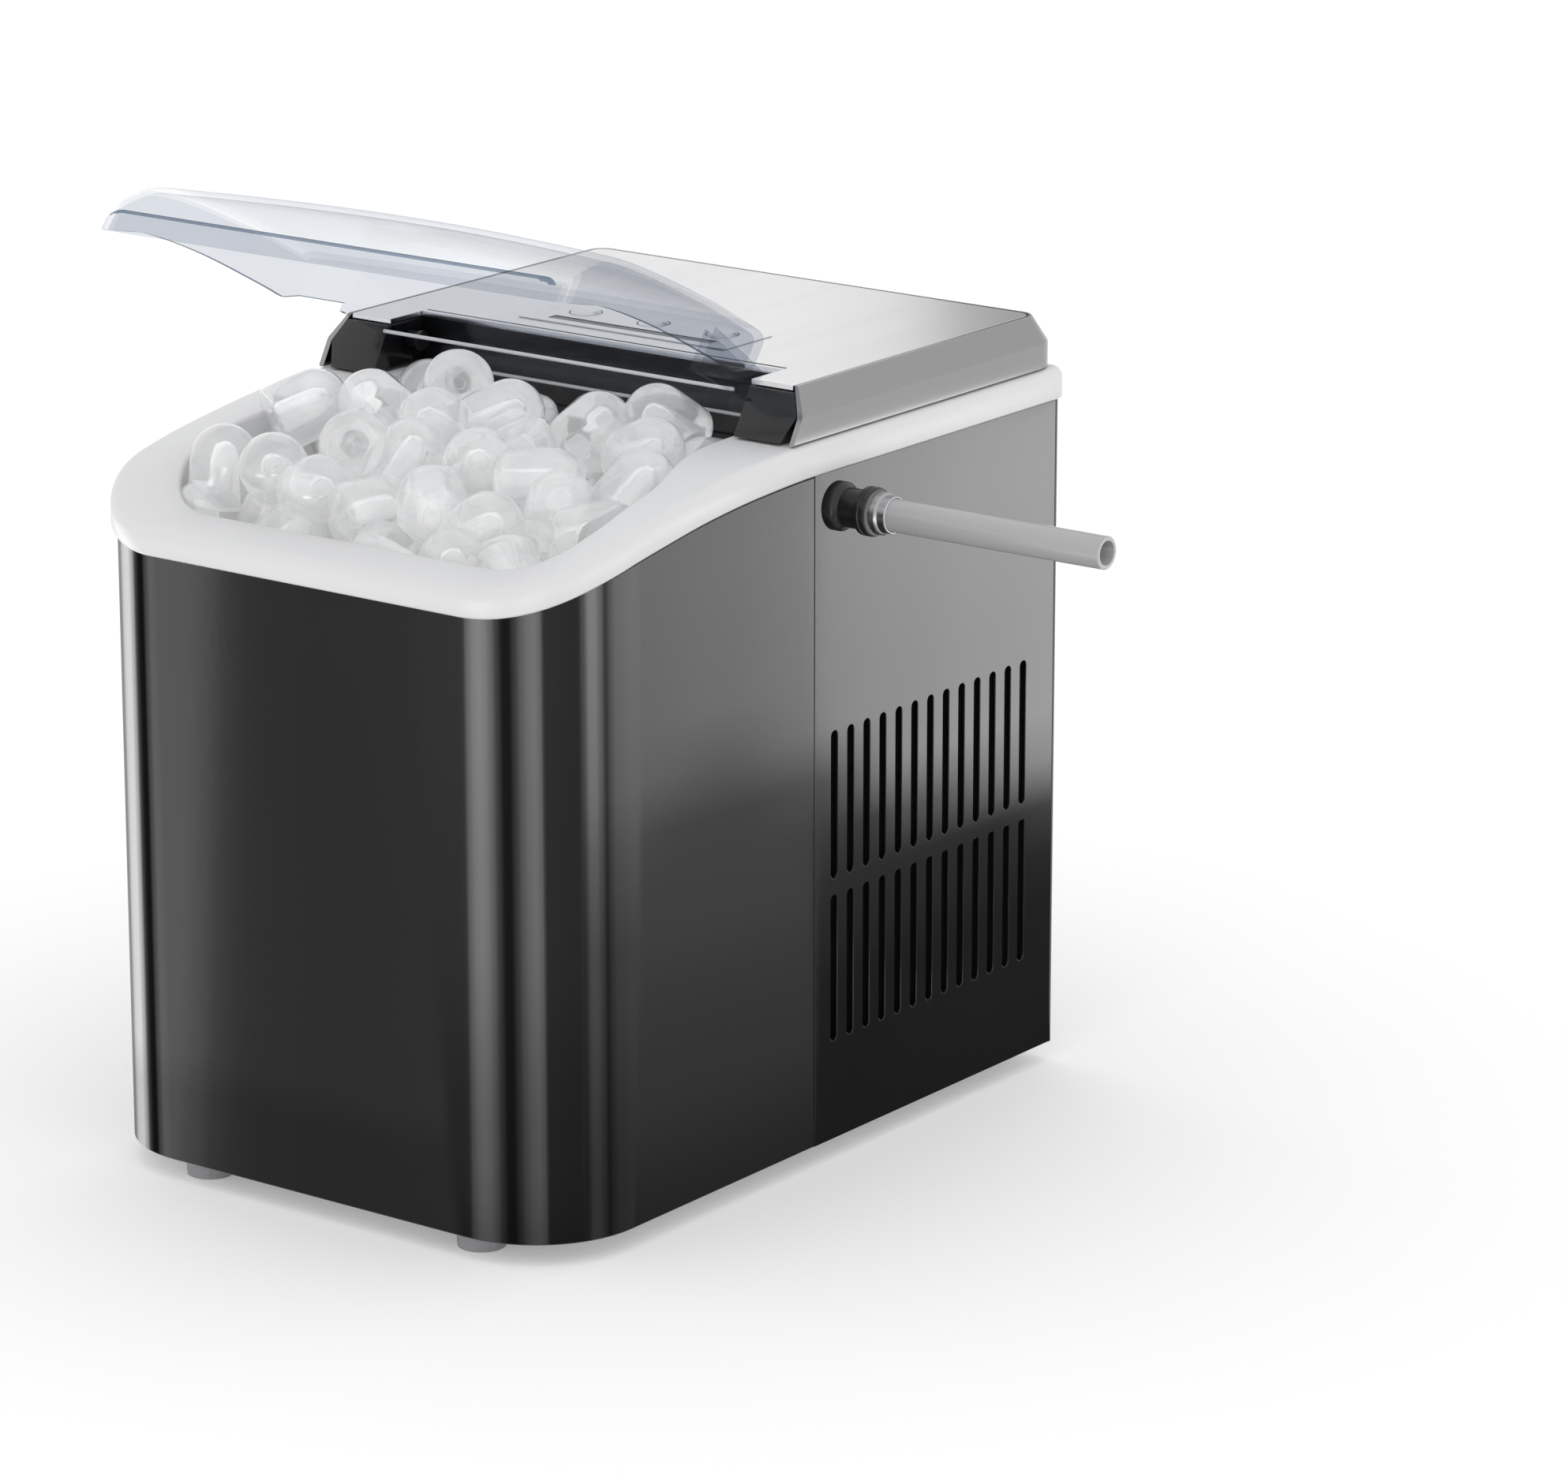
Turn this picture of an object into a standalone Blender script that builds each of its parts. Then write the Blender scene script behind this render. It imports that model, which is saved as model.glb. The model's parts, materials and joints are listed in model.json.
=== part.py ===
"""Countertop bullet-ice maker with a hinged clear lid, modelled as separate sub-parts.

Metres, +Z up, front face towards -Y. The cabinet's own centre line is the plane x = 0 of the
parent empty, which is shifted along X so that the origin is the centre of the whole footprint,
drain pipe included.
"""

import math

import bmesh
import bpy
from mathutils import Matrix, Vector

# Driving dimensions
BODY_WIDTH = 0.222
BODY_DEPTH = 0.3066
FOOT_HEIGHT = 0.008
CORNER_RADIUS = 0.042
REAR_CORNER_RADIUS = 0.004
SHEET = 0.0016
GAP = 0.0003
RIM_BULGE = 0.0016
RIM_TOP_REAR = 0.2738
HOOD_TOP = 0.2936
HOOD_SHOULDER = 0.284
HOOD_CHAMFER = 0.006
PIPE_END = 0.2285
LID_REST_ANGLE = math.radians(36.0)
LID_AXIS_Y = 0.007
LID_AXIS_Z = 0.2843
LID_WALL = 0.0022
LID_HALF_WIDTH = 0.105
TONGUE_HALF_WIDTH = 0.0822
TRAY_AXIS_Y = 0.038
TRAY_AXIS_Z = 0.252
TRAY_RADIUS = 0.0276
FAN_Y = 0.072
FAN_Z = 0.064
FAN_RADIUS = 0.040
FAN_X = 0.065
SHOVEL_Y = 0.0075

# Derived dimensions
HALF_WIDTH = BODY_WIDTH / 2
HALF_DEPTH = BODY_DEPTH / 2
RIM_HALF_WIDTH = HALF_WIDTH + RIM_BULGE
RIM_HALF_DEPTH = HALF_DEPTH + RIM_BULGE
HOOD_BOTTOM = RIM_TOP_REAR + GAP
CENTRE_SHIFT = -(PIPE_END - RIM_HALF_WIDTH) / 2
SEAM_Y = -0.003
COVER_TOP = 0.2614

# Side-view curves of the cabinet, as (y, z): the underside of the white rim, its top, and the lid's roof
RIM_UNDERSIDE = ((-0.155, 0.2352), (-0.120, 0.2483), (-0.092, 0.2536), (-0.064, 0.2578), (-0.037, 0.2603),
                 (-0.003, 0.2617), (0.155, 0.2617))
RIM_CREST = ((-0.156, 0.2452), (-0.139, 0.2524), (-0.127, 0.2575), (-0.112, 0.2616), (-0.092, 0.2657),
             (-0.072, 0.2687), (-0.046, 0.2718), (-0.003, RIM_TOP_REAR), (0.155, RIM_TOP_REAR))
LID_ROOF = ((-0.1525, 0.2480), (-0.1518, 0.2562), (-0.1500, 0.2572), (-0.143, 0.2664), (-0.133, 0.2742),
            (-0.120, 0.2787), (-0.105, 0.2824), (-0.085, 0.2863), (-0.060, 0.2906), (-0.036, 0.2935))
LID_FRONT = -0.1525
LID_BACK = -0.036
LID_CORNER = 0.009
LID_CROWN = 0.0055
LID_EDGE_RADIUS = 0.006

BLACK_GLOSS = ((0.012, 0.012, 0.013), 0.12, 0.0)
BLACK_MATT = ((0.02, 0.02, 0.021), 0.5, 0.0)
WHITE_PLASTIC = ((0.86, 0.86, 0.87), 0.35, 0.0)
SILVER = ((0.62, 0.62, 0.63), 0.3, 0.85)
CLEAR_BLUE = ((0.75, 0.84, 0.92), 0.05, 0.0)
GREY_PLASTIC = ((0.3, 0.3, 0.3), 0.3, 0.0)
RUBBER_GREY = ((0.35, 0.35, 0.35), 0.7, 0.0)
GALVANISED = ((0.5, 0.5, 0.52), 0.4, 0.9)
CHROME = ((0.8, 0.8, 0.8), 0.1, 1.0)
COPPER = ((0.72, 0.35, 0.2), 0.3, 1.0)
BLACK_PAINT = ((0.03, 0.03, 0.03), 0.35, 0.0)
FOAM = ((0.8, 0.76, 0.6), 0.9, 0.0)
CIRCUIT = ((0.03, 0.2, 0.08), 0.5, 0.0)

AXIS_TURNS = {
    "X": Matrix(((0, 0, 1), (1, 0, 0), (0, 1, 0))).to_4x4(),
    "Y": Matrix(((1, 0, 0), (0, 0, -1), (0, 1, 0))).to_4x4(),
    "Z": Matrix.Identity(4),
}


def clear_scene():
    for obj in list(bpy.data.objects):
        bpy.data.objects.remove(obj, do_unlink=True)


def new_collection(name):
    collection = bpy.data.collections.new(name)
    bpy.context.scene.collection.children.link(collection)
    return collection


clear_scene()
PARTS = new_collection("ice_maker")
CUTTERS = new_collection("ice_maker_cutters")
ROOT = bpy.data.objects.new("ice_maker_centre", None)
ROOT.location = (CENTRE_SHIFT, 0.0, 0.0)
PARTS.objects.link(ROOT)


def finish_material(name, finish):
    colour, roughness, metallic = finish
    material = bpy.data.materials.new(name + "_finish")
    material.use_nodes = True
    shader = material.node_tree.nodes["Principled BSDF"]
    shader.inputs["Base Color"].default_value = (*colour, 1.0)
    shader.inputs["Roughness"].default_value = roughness
    shader.inputs["Metallic"].default_value = metallic
    return material


def add_part(name, mesh, finish, smooth=True):
    """Links a mesh, given in the cabinet's own coordinates, as one named sub-part."""
    obj = bpy.data.objects.new(name, mesh)
    PARTS.objects.link(obj)
    obj.parent = ROOT
    mesh.materials.append(finish_material(name, finish))
    if smooth:
        mesh.shade_smooth()
        mesh.set_sharp_from_angle(angle=math.radians(35))
    return obj


def as_helper(mesh, name="cutter"):
    """Links a mesh as a cutter or as an addition that a Boolean reads."""
    obj = bpy.data.objects.new(name, mesh)
    CUTTERS.objects.link(obj)
    obj.parent = ROOT
    obj.hide_render = True
    obj.display_type = "WIRE"
    return obj


def boolean(target, meshes, operation):
    """Cuts the meshes from the target, or joins them to it."""
    for mesh in meshes:
        helper = as_helper(mesh, target.name + "_" + operation.lower())
        if target.matrix_basis != Matrix.Identity(4):
            helper.parent = target
        modifier = target.modifiers.new(operation.title(), "BOOLEAN")
        modifier.operation = operation
        modifier.solver = "EXACT"
        modifier.object = helper
    return target


def cut(target, *meshes):
    return boolean(target, meshes, "DIFFERENCE")


def join(target, *meshes):
    return boolean(target, meshes, "UNION")


def set_pivot(obj, pivot):
    """Moves the object's origin to the pivot and leaves the shape where it is."""
    obj.data.transform(Matrix.Translation(-Vector(pivot)))
    obj.location = pivot
    return obj


def mesh_from(builder, name="shape"):
    """Makes a mesh from a bmesh, with every face turned outwards."""
    bmesh.ops.recalc_face_normals(builder, faces=builder.faces)
    mesh = bpy.data.meshes.new(name)
    builder.to_mesh(mesh)
    builder.free()
    return mesh


def block(low, high, bevel=0.0):
    """A box between two corners, with its edges rounded over by the bevel."""
    builder = bmesh.new()
    size = [b - a for a, b in zip(low, high)]
    centre = [(a + b) / 2 for a, b in zip(low, high)]
    matrix = Matrix.Translation(centre) @ Matrix.Diagonal((*size, 1.0))
    bmesh.ops.create_cube(builder, size=1.0, matrix=matrix)
    if bevel:
        bmesh.ops.bevel(builder, geom=list(builder.edges), offset=bevel, segments=2, affect="EDGES",
                        clamp_overlap=True)
    return mesh_from(builder)


def rod(centre, radius, length, axis="Z", sides=20, end_radius=None):
    """A cylinder, or a cone when the end radius differs, centred on a point along an axis."""
    builder = bmesh.new()
    matrix = Matrix.Translation(centre) @ AXIS_TURNS[axis]
    bmesh.ops.create_cone(builder, cap_ends=True, segments=sides, radius1=radius,
                          radius2=radius if end_radius is None else end_radius, depth=length, matrix=matrix)
    return mesh_from(builder)


def turned(profile, centre, axis="X", sides=24, closed=False):
    """A turned piece: a profile of (radius, height) pairs run round an axis with a Screw modifier."""
    mesh = bpy.data.meshes.new("profile")
    count = len(profile)
    edges = [(i, i + 1) for i in range(count - 1)] + ([(count - 1, 0)] if closed else [])
    mesh.from_pydata([(radius, 0.0, height) for radius, height in profile], edges, [])
    obj = bpy.data.objects.new("turned", mesh)
    CUTTERS.objects.link(obj)
    screw = obj.modifiers.new("Turn", "SCREW")
    screw.steps = sides
    screw.render_steps = sides
    screw.use_merge_vertices = True
    screw.merge_threshold = 0.00001
    shape = baked_mesh(obj)
    shape.transform(Matrix.Translation(centre) @ AXIS_TURNS[axis])
    return shape


def baked_mesh(obj):
    """The evaluated mesh of a helper object, welded and facing outwards; the helper is removed."""
    graph = bpy.context.evaluated_depsgraph_get()
    mesh = bpy.data.meshes.new_from_object(obj.evaluated_get(graph))
    bpy.data.objects.remove(obj, do_unlink=True)
    builder = bmesh.new()
    builder.from_mesh(mesh)
    bpy.data.meshes.remove(mesh)
    bmesh.ops.remove_doubles(builder, verts=builder.verts, dist=0.00002)
    return mesh_from(builder)


def plate(outline, start, end, axis="Z", holes=()):
    """A flat outline, given across the axis, filled and extruded from start to end along it.

    Across X the outline is (y, z), across Y it is (x, z) and across Z it is (x, y).
    """
    curve = bpy.data.curves.new("outline", "CURVE")
    curve.dimensions = "2D"
    curve.fill_mode = "BOTH"
    curve.extrude = abs(end - start) / 2
    for loop in (outline, *holes):
        spline = curve.splines.new("POLY")
        spline.points.add(len(loop) - 1)
        for point, (across, along) in zip(spline.points, loop):
            point.co = (across, along, 0.0, 1.0)
        spline.use_cyclic_u = True
    obj = bpy.data.objects.new("outline", curve)
    CUTTERS.objects.link(obj)
    mesh = baked_mesh(obj)
    middle = (start + end) / 2
    offset = {"X": (middle, 0, 0), "Y": (0, middle, 0), "Z": (0, 0, middle)}[axis]
    mesh.transform(Matrix.Translation(offset) @ AXIS_TURNS[axis])
    return mesh


def pipe(points, radius, resolution=2):
    """A solid round run along a smooth path through the points."""
    curve = bpy.data.curves.new("path", "CURVE")
    curve.dimensions = "3D"
    curve.bevel_depth = radius
    curve.bevel_resolution = resolution
    curve.use_fill_caps = True
    route = smooth_route(points, steps=4)
    spline = curve.splines.new("POLY")
    spline.points.add(len(route) - 1)
    for point, place in zip(spline.points, route):
        point.co = (*place, 1.0)
    obj = bpy.data.objects.new("path", curve)
    CUTTERS.objects.link(obj)
    return baked_mesh(obj)


def smooth_route(points, steps):
    """Points on a Catmull-Rom curve through the given points."""
    places = [Vector(p) for p in points]
    places = [2 * places[0] - places[1]] + places + [2 * places[-1] - places[-2]]
    route = []
    for a, b, c, d in zip(places, places[1:], places[2:], places[3:]):
        for step in range(steps):
            t = step / steps
            route.append(0.5 * (2 * b + (c - a) * t + (2 * a - 5 * b + 4 * c - d) * t * t
                                + (3 * b - a - 3 * c + d) * t ** 3))
    route.append(places[-2])
    return route


def height_on(line, y):
    """The height of a rising side-view curve at y, on a smooth curve through its points."""
    if y <= line[0][0]:
        return line[0][1]
    if y >= line[-1][0]:
        return line[-1][1]
    slopes = [(b[1] - a[1]) / (b[0] - a[0]) for a, b in zip(line, line[1:])]
    tangents = [slopes[0]] + [2 * a * b / (a + b) for a, b in zip(slopes, slopes[1:])] + [slopes[-1]]
    for index, (left, right) in enumerate(zip(line, line[1:])):
        if y <= right[0]:
            break
    span = right[0] - left[0]
    t = (y - left[0]) / span
    keep = (1 + 2 * t) * (1 - t) ** 2 * left[1] + t * t * (3 - 2 * t) * right[1]
    bend = t * (1 - t) ** 2 * tangents[index] * span + t * t * (t - 1) * tangents[index + 1] * span
    return keep + bend


def arc(centre_a, centre_b, radius, start, end, steps):
    """Points on an arc between two angles in degrees, both ends included."""
    angles = [math.radians(start + (end - start) * i / steps) for i in range(steps + 1)]
    return [(centre_a + radius * math.cos(a), centre_b + radius * math.sin(a)) for a in angles]


def rounded_outline(half_width, front, back, front_radius, back_radius, steps=6, back_steps=2):
    """A plan outline with round corners, counter-clockwise from the front left corner."""
    fr, br = front_radius, back_radius
    return (arc(-half_width + fr, front + fr, fr, 180, 270, steps)
            + arc(half_width - fr, front + fr, fr, 270, 360, steps)
            + arc(half_width - br, back - br, br, 0, 90, back_steps)
            + arc(-half_width + br, back - br, br, 90, 180, back_steps))


def slot_outline(centre_a, low, high, width, steps=4):
    """A slot with round ends, standing along the second coordinate."""
    r = width / 2
    return arc(centre_a, high - r, r, 0, 180, steps) + arc(centre_a, low + r, r, 180, 360, steps)


def loft(rings, close_rings=True, close_path=False):
    """A closed body through rings of points that correspond one to one."""
    builder = bmesh.new()
    rows = [[builder.verts.new(point) for point in ring] for ring in rings]
    count = len(rows[0])
    pairs = list(zip(rows, rows[1:])) + ([(rows[-1], rows[0])] if close_path else [])
    for first, second in pairs:
        for i in range(count if close_rings else count - 1):
            j = (i + 1) % count
            builder.faces.new((first[i], first[j], second[j], second[i]))
    if not close_path:
        builder.faces.new(rows[0])
        builder.faces.new(reversed(rows[-1]))
    return mesh_from(builder)


def tub(outlines, heights, wall):
    """An open-topped tub: outlines stacked at their heights, floor filled, with the wall outside them."""
    builder = bmesh.new()
    rows = [[builder.verts.new((x, y, z)) for x, y in line] for line, z in zip(outlines, heights)]
    for lower, upper in zip(rows, rows[1:]):
        for i in range(len(lower)):
            j = (i + 1) % len(lower)
            builder.faces.new((lower[i], lower[j], upper[j], upper[i]))
    builder.faces.new(reversed(rows[0]))
    mesh = bpy.data.meshes.new("tub")
    builder.to_mesh(mesh)
    builder.free()
    obj = bpy.data.objects.new("tub", mesh)
    CUTTERS.objects.link(obj)
    solid = obj.modifiers.new("Wall", "SOLIDIFY")
    solid.thickness = wall
    solid.offset = 1.0
    solid.use_even_offset = True
    return baked_mesh(obj)


# Cabinet

def cover_outline():
    """The U-shaped plan of the front cover's sheet."""
    centre_x = HALF_WIDTH - CORNER_RADIUS
    centre_y = -HALF_DEPTH + CORNER_RADIUS
    edge = SEAM_Y - GAP / 2
    inner = CORNER_RADIUS - SHEET
    outside = ([(-HALF_WIDTH, edge)] + arc(-centre_x, centre_y, CORNER_RADIUS, 180, 270, 9)
               + arc(centre_x, centre_y, CORNER_RADIUS, 270, 360, 9) + [(HALF_WIDTH, edge)])
    inside = ([(HALF_WIDTH - SHEET, edge)] + arc(centre_x, centre_y, inner, 360, 270, 9)
              + arc(-centre_x, centre_y, inner, 270, 180, 9) + [(-HALF_WIDTH + SHEET, edge)])
    return outside + inside


def above_rim_line():
    """Everything above the line where the white rim sits on the cover."""
    stations = [-0.16] + [outside[1] for outside, _, _ in rim_stations()[1:] if outside[1] < 0.0]
    line = [(y, height_on(RIM_UNDERSIDE, y) - 2 * GAP) for y in stations]
    return plate(line + [(0.0, COVER_TOP), (0.0, 0.30), (-0.16, 0.30)], -0.13, 0.13, "X")


def make_front_cover():
    cover = add_part("front_cover", plate(cover_outline(), FOOT_HEIGHT, COVER_TOP), BLACK_GLOSS)
    cut(cover, above_rim_line())


def side_outline(side):
    """The L-shaped plan of a side panel, whose rear edge turns the back corner."""
    r = REAR_CORNER_RADIUS
    x, y = HALF_WIDTH - r, HALF_DEPTH - r
    lip = 0.097
    edge = SEAM_Y + GAP / 2
    points = ([(HALF_WIDTH, edge)] + arc(x, y, r, 0, 90, 3) + [(lip, HALF_DEPTH)]
              + [(lip, HALF_DEPTH - SHEET)] + arc(x, y, r - SHEET, 90, 0, 3) + [(HALF_WIDTH - SHEET, edge)])
    return [(side * px, py) for px, py in points]


def vent_slots():
    """The cooling slots of a side panel: two rows of thirteen."""
    columns = [0.0094 + 0.010 * i for i in range(13)]
    rows = ((0.046, 0.102), (0.1083, 0.1643))
    return [slot_outline(y, low, high, 0.004, 3) for y in columns for low, high in rows]


def make_side_panel(name, side):
    panel = add_part(name, plate(side_outline(side), FOOT_HEIGHT, COVER_TOP), BLACK_GLOSS)
    middle = side * (HALF_WIDTH - SHEET / 2)
    reach = 0.004
    slots = [plate(slot, middle - reach, middle + reach, "X") for slot in vent_slots()]
    cutter = bpy.data.meshes.new("slots")
    builder = bmesh.new()
    for slot in slots:
        builder.from_mesh(slot)
    builder.to_mesh(cutter)
    builder.free()
    cut(panel, cutter)
    return panel


DRAIN_Y = 0.0093
DRAIN_Z = 0.2485


def make_back_panel():
    half = 0.0966
    outline = [(-half, FOOT_HEIGHT), (half, FOOT_HEIGHT), (half, COVER_TOP), (-half, COVER_TOP)]
    slots = []
    for row in range(8):
        z = 0.120 + 0.011 * row
        slots.append([(x, y) for y, x in slot_outline(z, -0.048, 0.048, 0.0045, 3)])
    inlet = [(-0.0702, 0.0298), (-0.0398, 0.0298), (-0.0398, 0.0522), (-0.0702, 0.0522)]
    mesh = plate(outline, HALF_DEPTH - SHEET, HALF_DEPTH, "Y", slots + [inlet])
    add_part("back_panel", mesh, BLACK_MATT)


def make_base():
    inset = SHEET + 0.0004
    outline = rounded_outline(HALF_WIDTH - inset, -HALF_DEPTH + inset, HALF_DEPTH - inset,
                              CORNER_RADIUS - inset, 0.003, 8)
    base = add_part("base_pan", plate(outline, FOOT_HEIGHT + GAP, FOOT_HEIGHT + 0.0028), GALVANISED)
    cut(base, rod((0.0, -0.060, FOOT_HEIGHT), 0.0064, 0.02, "Z", 20))
    for x, x_name in ((-0.064, "left"), (0.064, "right")):
        for y, y_name in ((-0.138, "front"), (0.138, "rear")):
            profile = ((0.0, FOOT_HEIGHT), (0.0085, FOOT_HEIGHT), (0.0092, 0.0055), (0.0088, 0.0), (0.0, 0.0))
            foot = turned(profile, (x, y, 0.0), "Z", 20)
            add_part("foot_%s_%s" % (y_name, x_name), foot, RUBBER_GREY)
    plug = ((0.0, 0.0135), (0.0060, 0.0135), (0.0060, FOOT_HEIGHT), (0.0105, FOOT_HEIGHT), (0.0105, 0.0035),
            (0.0, 0.0035))
    add_part("drain_plug", turned(plug, (0.0, -0.060, 0.0), "Z", 20), RUBBER_GREY)


# White rim and the tank below it

RIM_OPENING_FRONT = -0.130
RIM_OPENING_REAR = 0.100
RIM_OPENING_HALF = 0.094
RIM_OPENING_HALF_REAR = 0.080
SKIRT_BOTTOM = 0.226


def opening_half_width(y):
    """Half the width of the rim's opening, which narrows towards the hood."""
    t = min(max((y + 0.085) / 0.057, 0.0), 1.0)
    blend = t * t * (3 - 2 * t)
    return RIM_OPENING_HALF + (RIM_OPENING_HALF_REAR - RIM_OPENING_HALF) * blend


def rim_stations():
    """Right half of the rim, front to back: a point on the outside, its outward normal, a point inside."""
    stations = [((0.0, -RIM_HALF_DEPTH), (0.0, -1.0), (0.0, RIM_OPENING_FRONT)),
                ((0.060, -RIM_HALF_DEPTH), (0.0, -1.0), (0.055, RIM_OPENING_FRONT))]
    centre_x = RIM_HALF_WIDTH - CORNER_RADIUS
    centre_y = -RIM_HALF_DEPTH + CORNER_RADIUS
    inner_x, inner_y, inner_radius = 0.064, -0.100, 0.030
    for step in range(8):
        angle = math.radians(-90 + 90 * step / 7)
        normal = (math.cos(angle), math.sin(angle))
        outside = (centre_x + CORNER_RADIUS * normal[0], centre_y + CORNER_RADIUS * normal[1])
        inside = (inner_x + inner_radius * normal[0], inner_y + inner_radius * normal[1])
        stations.append((outside, normal, inside))
    for y in (-0.085, -0.070, -0.056, -0.042, -0.028, -0.003, 0.050):
        stations.append(((RIM_HALF_WIDTH, y), (1.0, 0.0), (opening_half_width(y), y)))
    corner = REAR_CORNER_RADIUS + RIM_BULGE
    half = RIM_OPENING_HALF_REAR
    for angle, inside in ((0, (half, 0.094)), (45, (half - 0.002, RIM_OPENING_REAR - 0.002)),
                          (90, (half - 0.006, RIM_OPENING_REAR))):
        normal = (math.cos(math.radians(angle)), math.sin(math.radians(angle)))
        outside = (RIM_HALF_WIDTH - corner + corner * normal[0], RIM_HALF_DEPTH - corner + corner * normal[1])
        stations.append((outside, normal, inside))
    stations.append(((0.0, RIM_HALF_DEPTH), (0.0, 1.0), (0.0, RIM_OPENING_REAR)))
    return stations


def rim_section(outside, normal, inside):
    """The rim's cross-section: a thick outer band, a flat top and a skirt down into the tank."""
    def on_outside(inset, z):
        return (outside[0] - inset * normal[0], outside[1] - inset * normal[1], z)

    def on_inside(outset, z):
        return (inside[0] + outset * normal[0], inside[1] + outset * normal[1], z)

    band = 0.0042
    low = height_on(RIM_UNDERSIDE, outside[1])
    inner_low = height_on(RIM_UNDERSIDE, outside[1] - band * normal[1])
    crest = height_on(RIM_CREST, outside[1])
    inner_crest = height_on(RIM_CREST, inside[1]) if outside[1] > -0.10 else crest + 0.0012
    return (on_outside(0.0, low), on_outside(0.0, crest - 0.0032), on_outside(0.0009, crest - 0.0010),
            on_outside(0.0030, crest), on_inside(0.0012, inner_crest), on_inside(0.0, inner_crest - 0.0014),
            on_inside(0.0, SKIRT_BOTTOM), on_inside(0.002, SKIRT_BOTTOM),
            on_inside(0.002, min(inner_crest, crest) - 0.0032), on_outside(band, crest - 0.0032),
            on_outside(band, inner_low))


def make_top_rim():
    right = [rim_section(*station) for station in rim_stations()]
    left = [[(-x, y, z) for x, y, z in ring] for ring in right[-2:0:-1]]
    add_part("top_rim", loft(right + left, close_path=True), WHITE_PLASTIC)


TANK_FLOOR = 0.112
TANK_REAR = 0.074


def make_inner_tank():
    upper = rounded_outline(0.094, -0.130, TANK_REAR, 0.030, 0.012, 6, 3)
    lower = rounded_outline(0.090, -0.126, TANK_REAR - 0.003, 0.028, 0.012, 6, 3)
    tank = add_part("inner_tank", tub((lower, upper), (TANK_FLOOR, SKIRT_BOTTOM - 0.0004), 0.002), WHITE_PLASTIC)
    for x in (-0.068, 0.068):
        join(tank, block((x - 0.0015, -0.118, TANK_FLOOR - 0.001), (x + 0.0015, -0.036, BASKET_BOTTOM - GAP)))


BASKET_BOTTOM = 0.158
BASKET_TOP = 0.238
BASKET_EAR_TOP = 0.258
BASKET_Y = -0.078


def make_ice_basket():
    half_x, half_y, wall = 0.0782, 0.0442, 0.0018
    outlines = []
    for inset, radius in ((0.006, 0.014), (0.003, 0.017), (0.0, 0.020)):
        outlines.append(rounded_outline(half_x - inset, BASKET_Y - half_y + inset, BASKET_Y + half_y - inset,
                                        radius, radius, 4, 4))
    heights = (BASKET_BOTTOM + wall, BASKET_BOTTOM + 0.005, BASKET_TOP)
    basket = add_part("ice_basket", tub(outlines, heights, wall), WHITE_PLASTIC)
    for side in (-1, 1):
        inner, outer = side * (half_x + 0.0001), side * (half_x + wall)
        ear = ([(BASKET_Y + 0.026, BASKET_TOP - 0.008)] + arc(BASKET_Y + 0.016, BASKET_EAR_TOP - 0.006, 0.006, 0, 90, 3)
               + arc(BASKET_Y - 0.016, BASKET_EAR_TOP - 0.006, 0.006, 90, 180, 3)
               + [(BASKET_Y - 0.026, BASKET_TOP - 0.008)])
        join(basket, plate(ear, min(inner, outer), max(inner, outer), "X"))
        window = [(BASKET_Y - 0.0145, 0.242), (BASKET_Y + 0.0145, 0.242), (BASKET_Y + 0.0125, 0.2535),
                  (BASKET_Y - 0.0125, 0.2535)]
        cut(basket, plate(window, side * half_x - 0.004, side * half_x + 0.006, "X"))
    for x in [-0.050 + 0.020 * i for i in range(6)]:
        cut(basket, plate(slot_outline(x, 0.168, 0.226, 0.008, 3), BASKET_Y - 0.06, BASKET_Y + 0.06, "Y"))
    for y in [BASKET_Y - 0.014 + 0.014 * i for i in range(3)]:
        cut(basket, plate(slot_outline(y, 0.168, 0.226, 0.006, 3), -0.09, 0.09, "X"))


# Hood

def hood_front(z):
    """The slanted front edge of the hood in side view."""
    t = (z - HOOD_BOTTOM) / (HOOD_TOP - HOOD_BOTTOM)
    return -0.015 + 0.011 * t


def make_hood_shell():
    half = HALF_WIDTH - 0.0005
    profile = ((0.0, HOOD_BOTTOM), (0.0, HOOD_SHOULDER), (HOOD_CHAMFER, HOOD_TOP), (0.0076, HOOD_TOP),
               (0.0021, 0.2834), (0.0021, HOOD_BOTTOM))
    r = REAR_CORNER_RADIUS + 0.009
    rings = [[(half - inset, hood_front(z), z) for inset, z in profile]]
    for angle in (0, 30, 60, 90):
        c, s = math.cos(math.radians(angle)), math.sin(math.radians(angle))
        rings.append([(half - r + (r - inset) * c, HALF_DEPTH - r + (r - inset) * s, z) for inset, z in profile])
    mirrored = [[(-x, y, z) for x, y, z in ring] for ring in reversed(rings)]
    add_part("hood_shell", loft(rings + mirrored), SILVER)


PANEL_HALF = 0.1024
PANEL_BOTTOM = HOOD_TOP - 0.0018
RECESS_EDGE = 0.0142
BEZEL_HALF = 0.048
BEZEL_FRONT = 0.027
BEZEL_BACK = 0.056


def make_hood_top_panel():
    recess = TONGUE_HALF_WIDTH + 0.0018
    back = HALF_DEPTH - 0.0081
    front = hood_front(HOOD_TOP) - 0.0004
    outline = ([(-PANEL_HALF, front), (-recess, front), (-recess, RECESS_EDGE), (recess, RECESS_EDGE),
                (recess, front), (PANEL_HALF, front)]
               + arc(PANEL_HALF - 0.005, back - 0.005, 0.005, 0, 90, 3)
               + arc(-PANEL_HALF + 0.005, back - 0.005, 0.005, 90, 180, 3))
    edge = BEZEL_HALF + GAP
    window = [(-edge, BEZEL_FRONT - GAP), (edge, BEZEL_FRONT - GAP), (edge, BEZEL_BACK + GAP),
              (-edge, BEZEL_BACK + GAP)]
    add_part("hood_top_panel", plate(outline, PANEL_BOTTOM, HOOD_TOP, "Z", [window]), SILVER)


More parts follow.
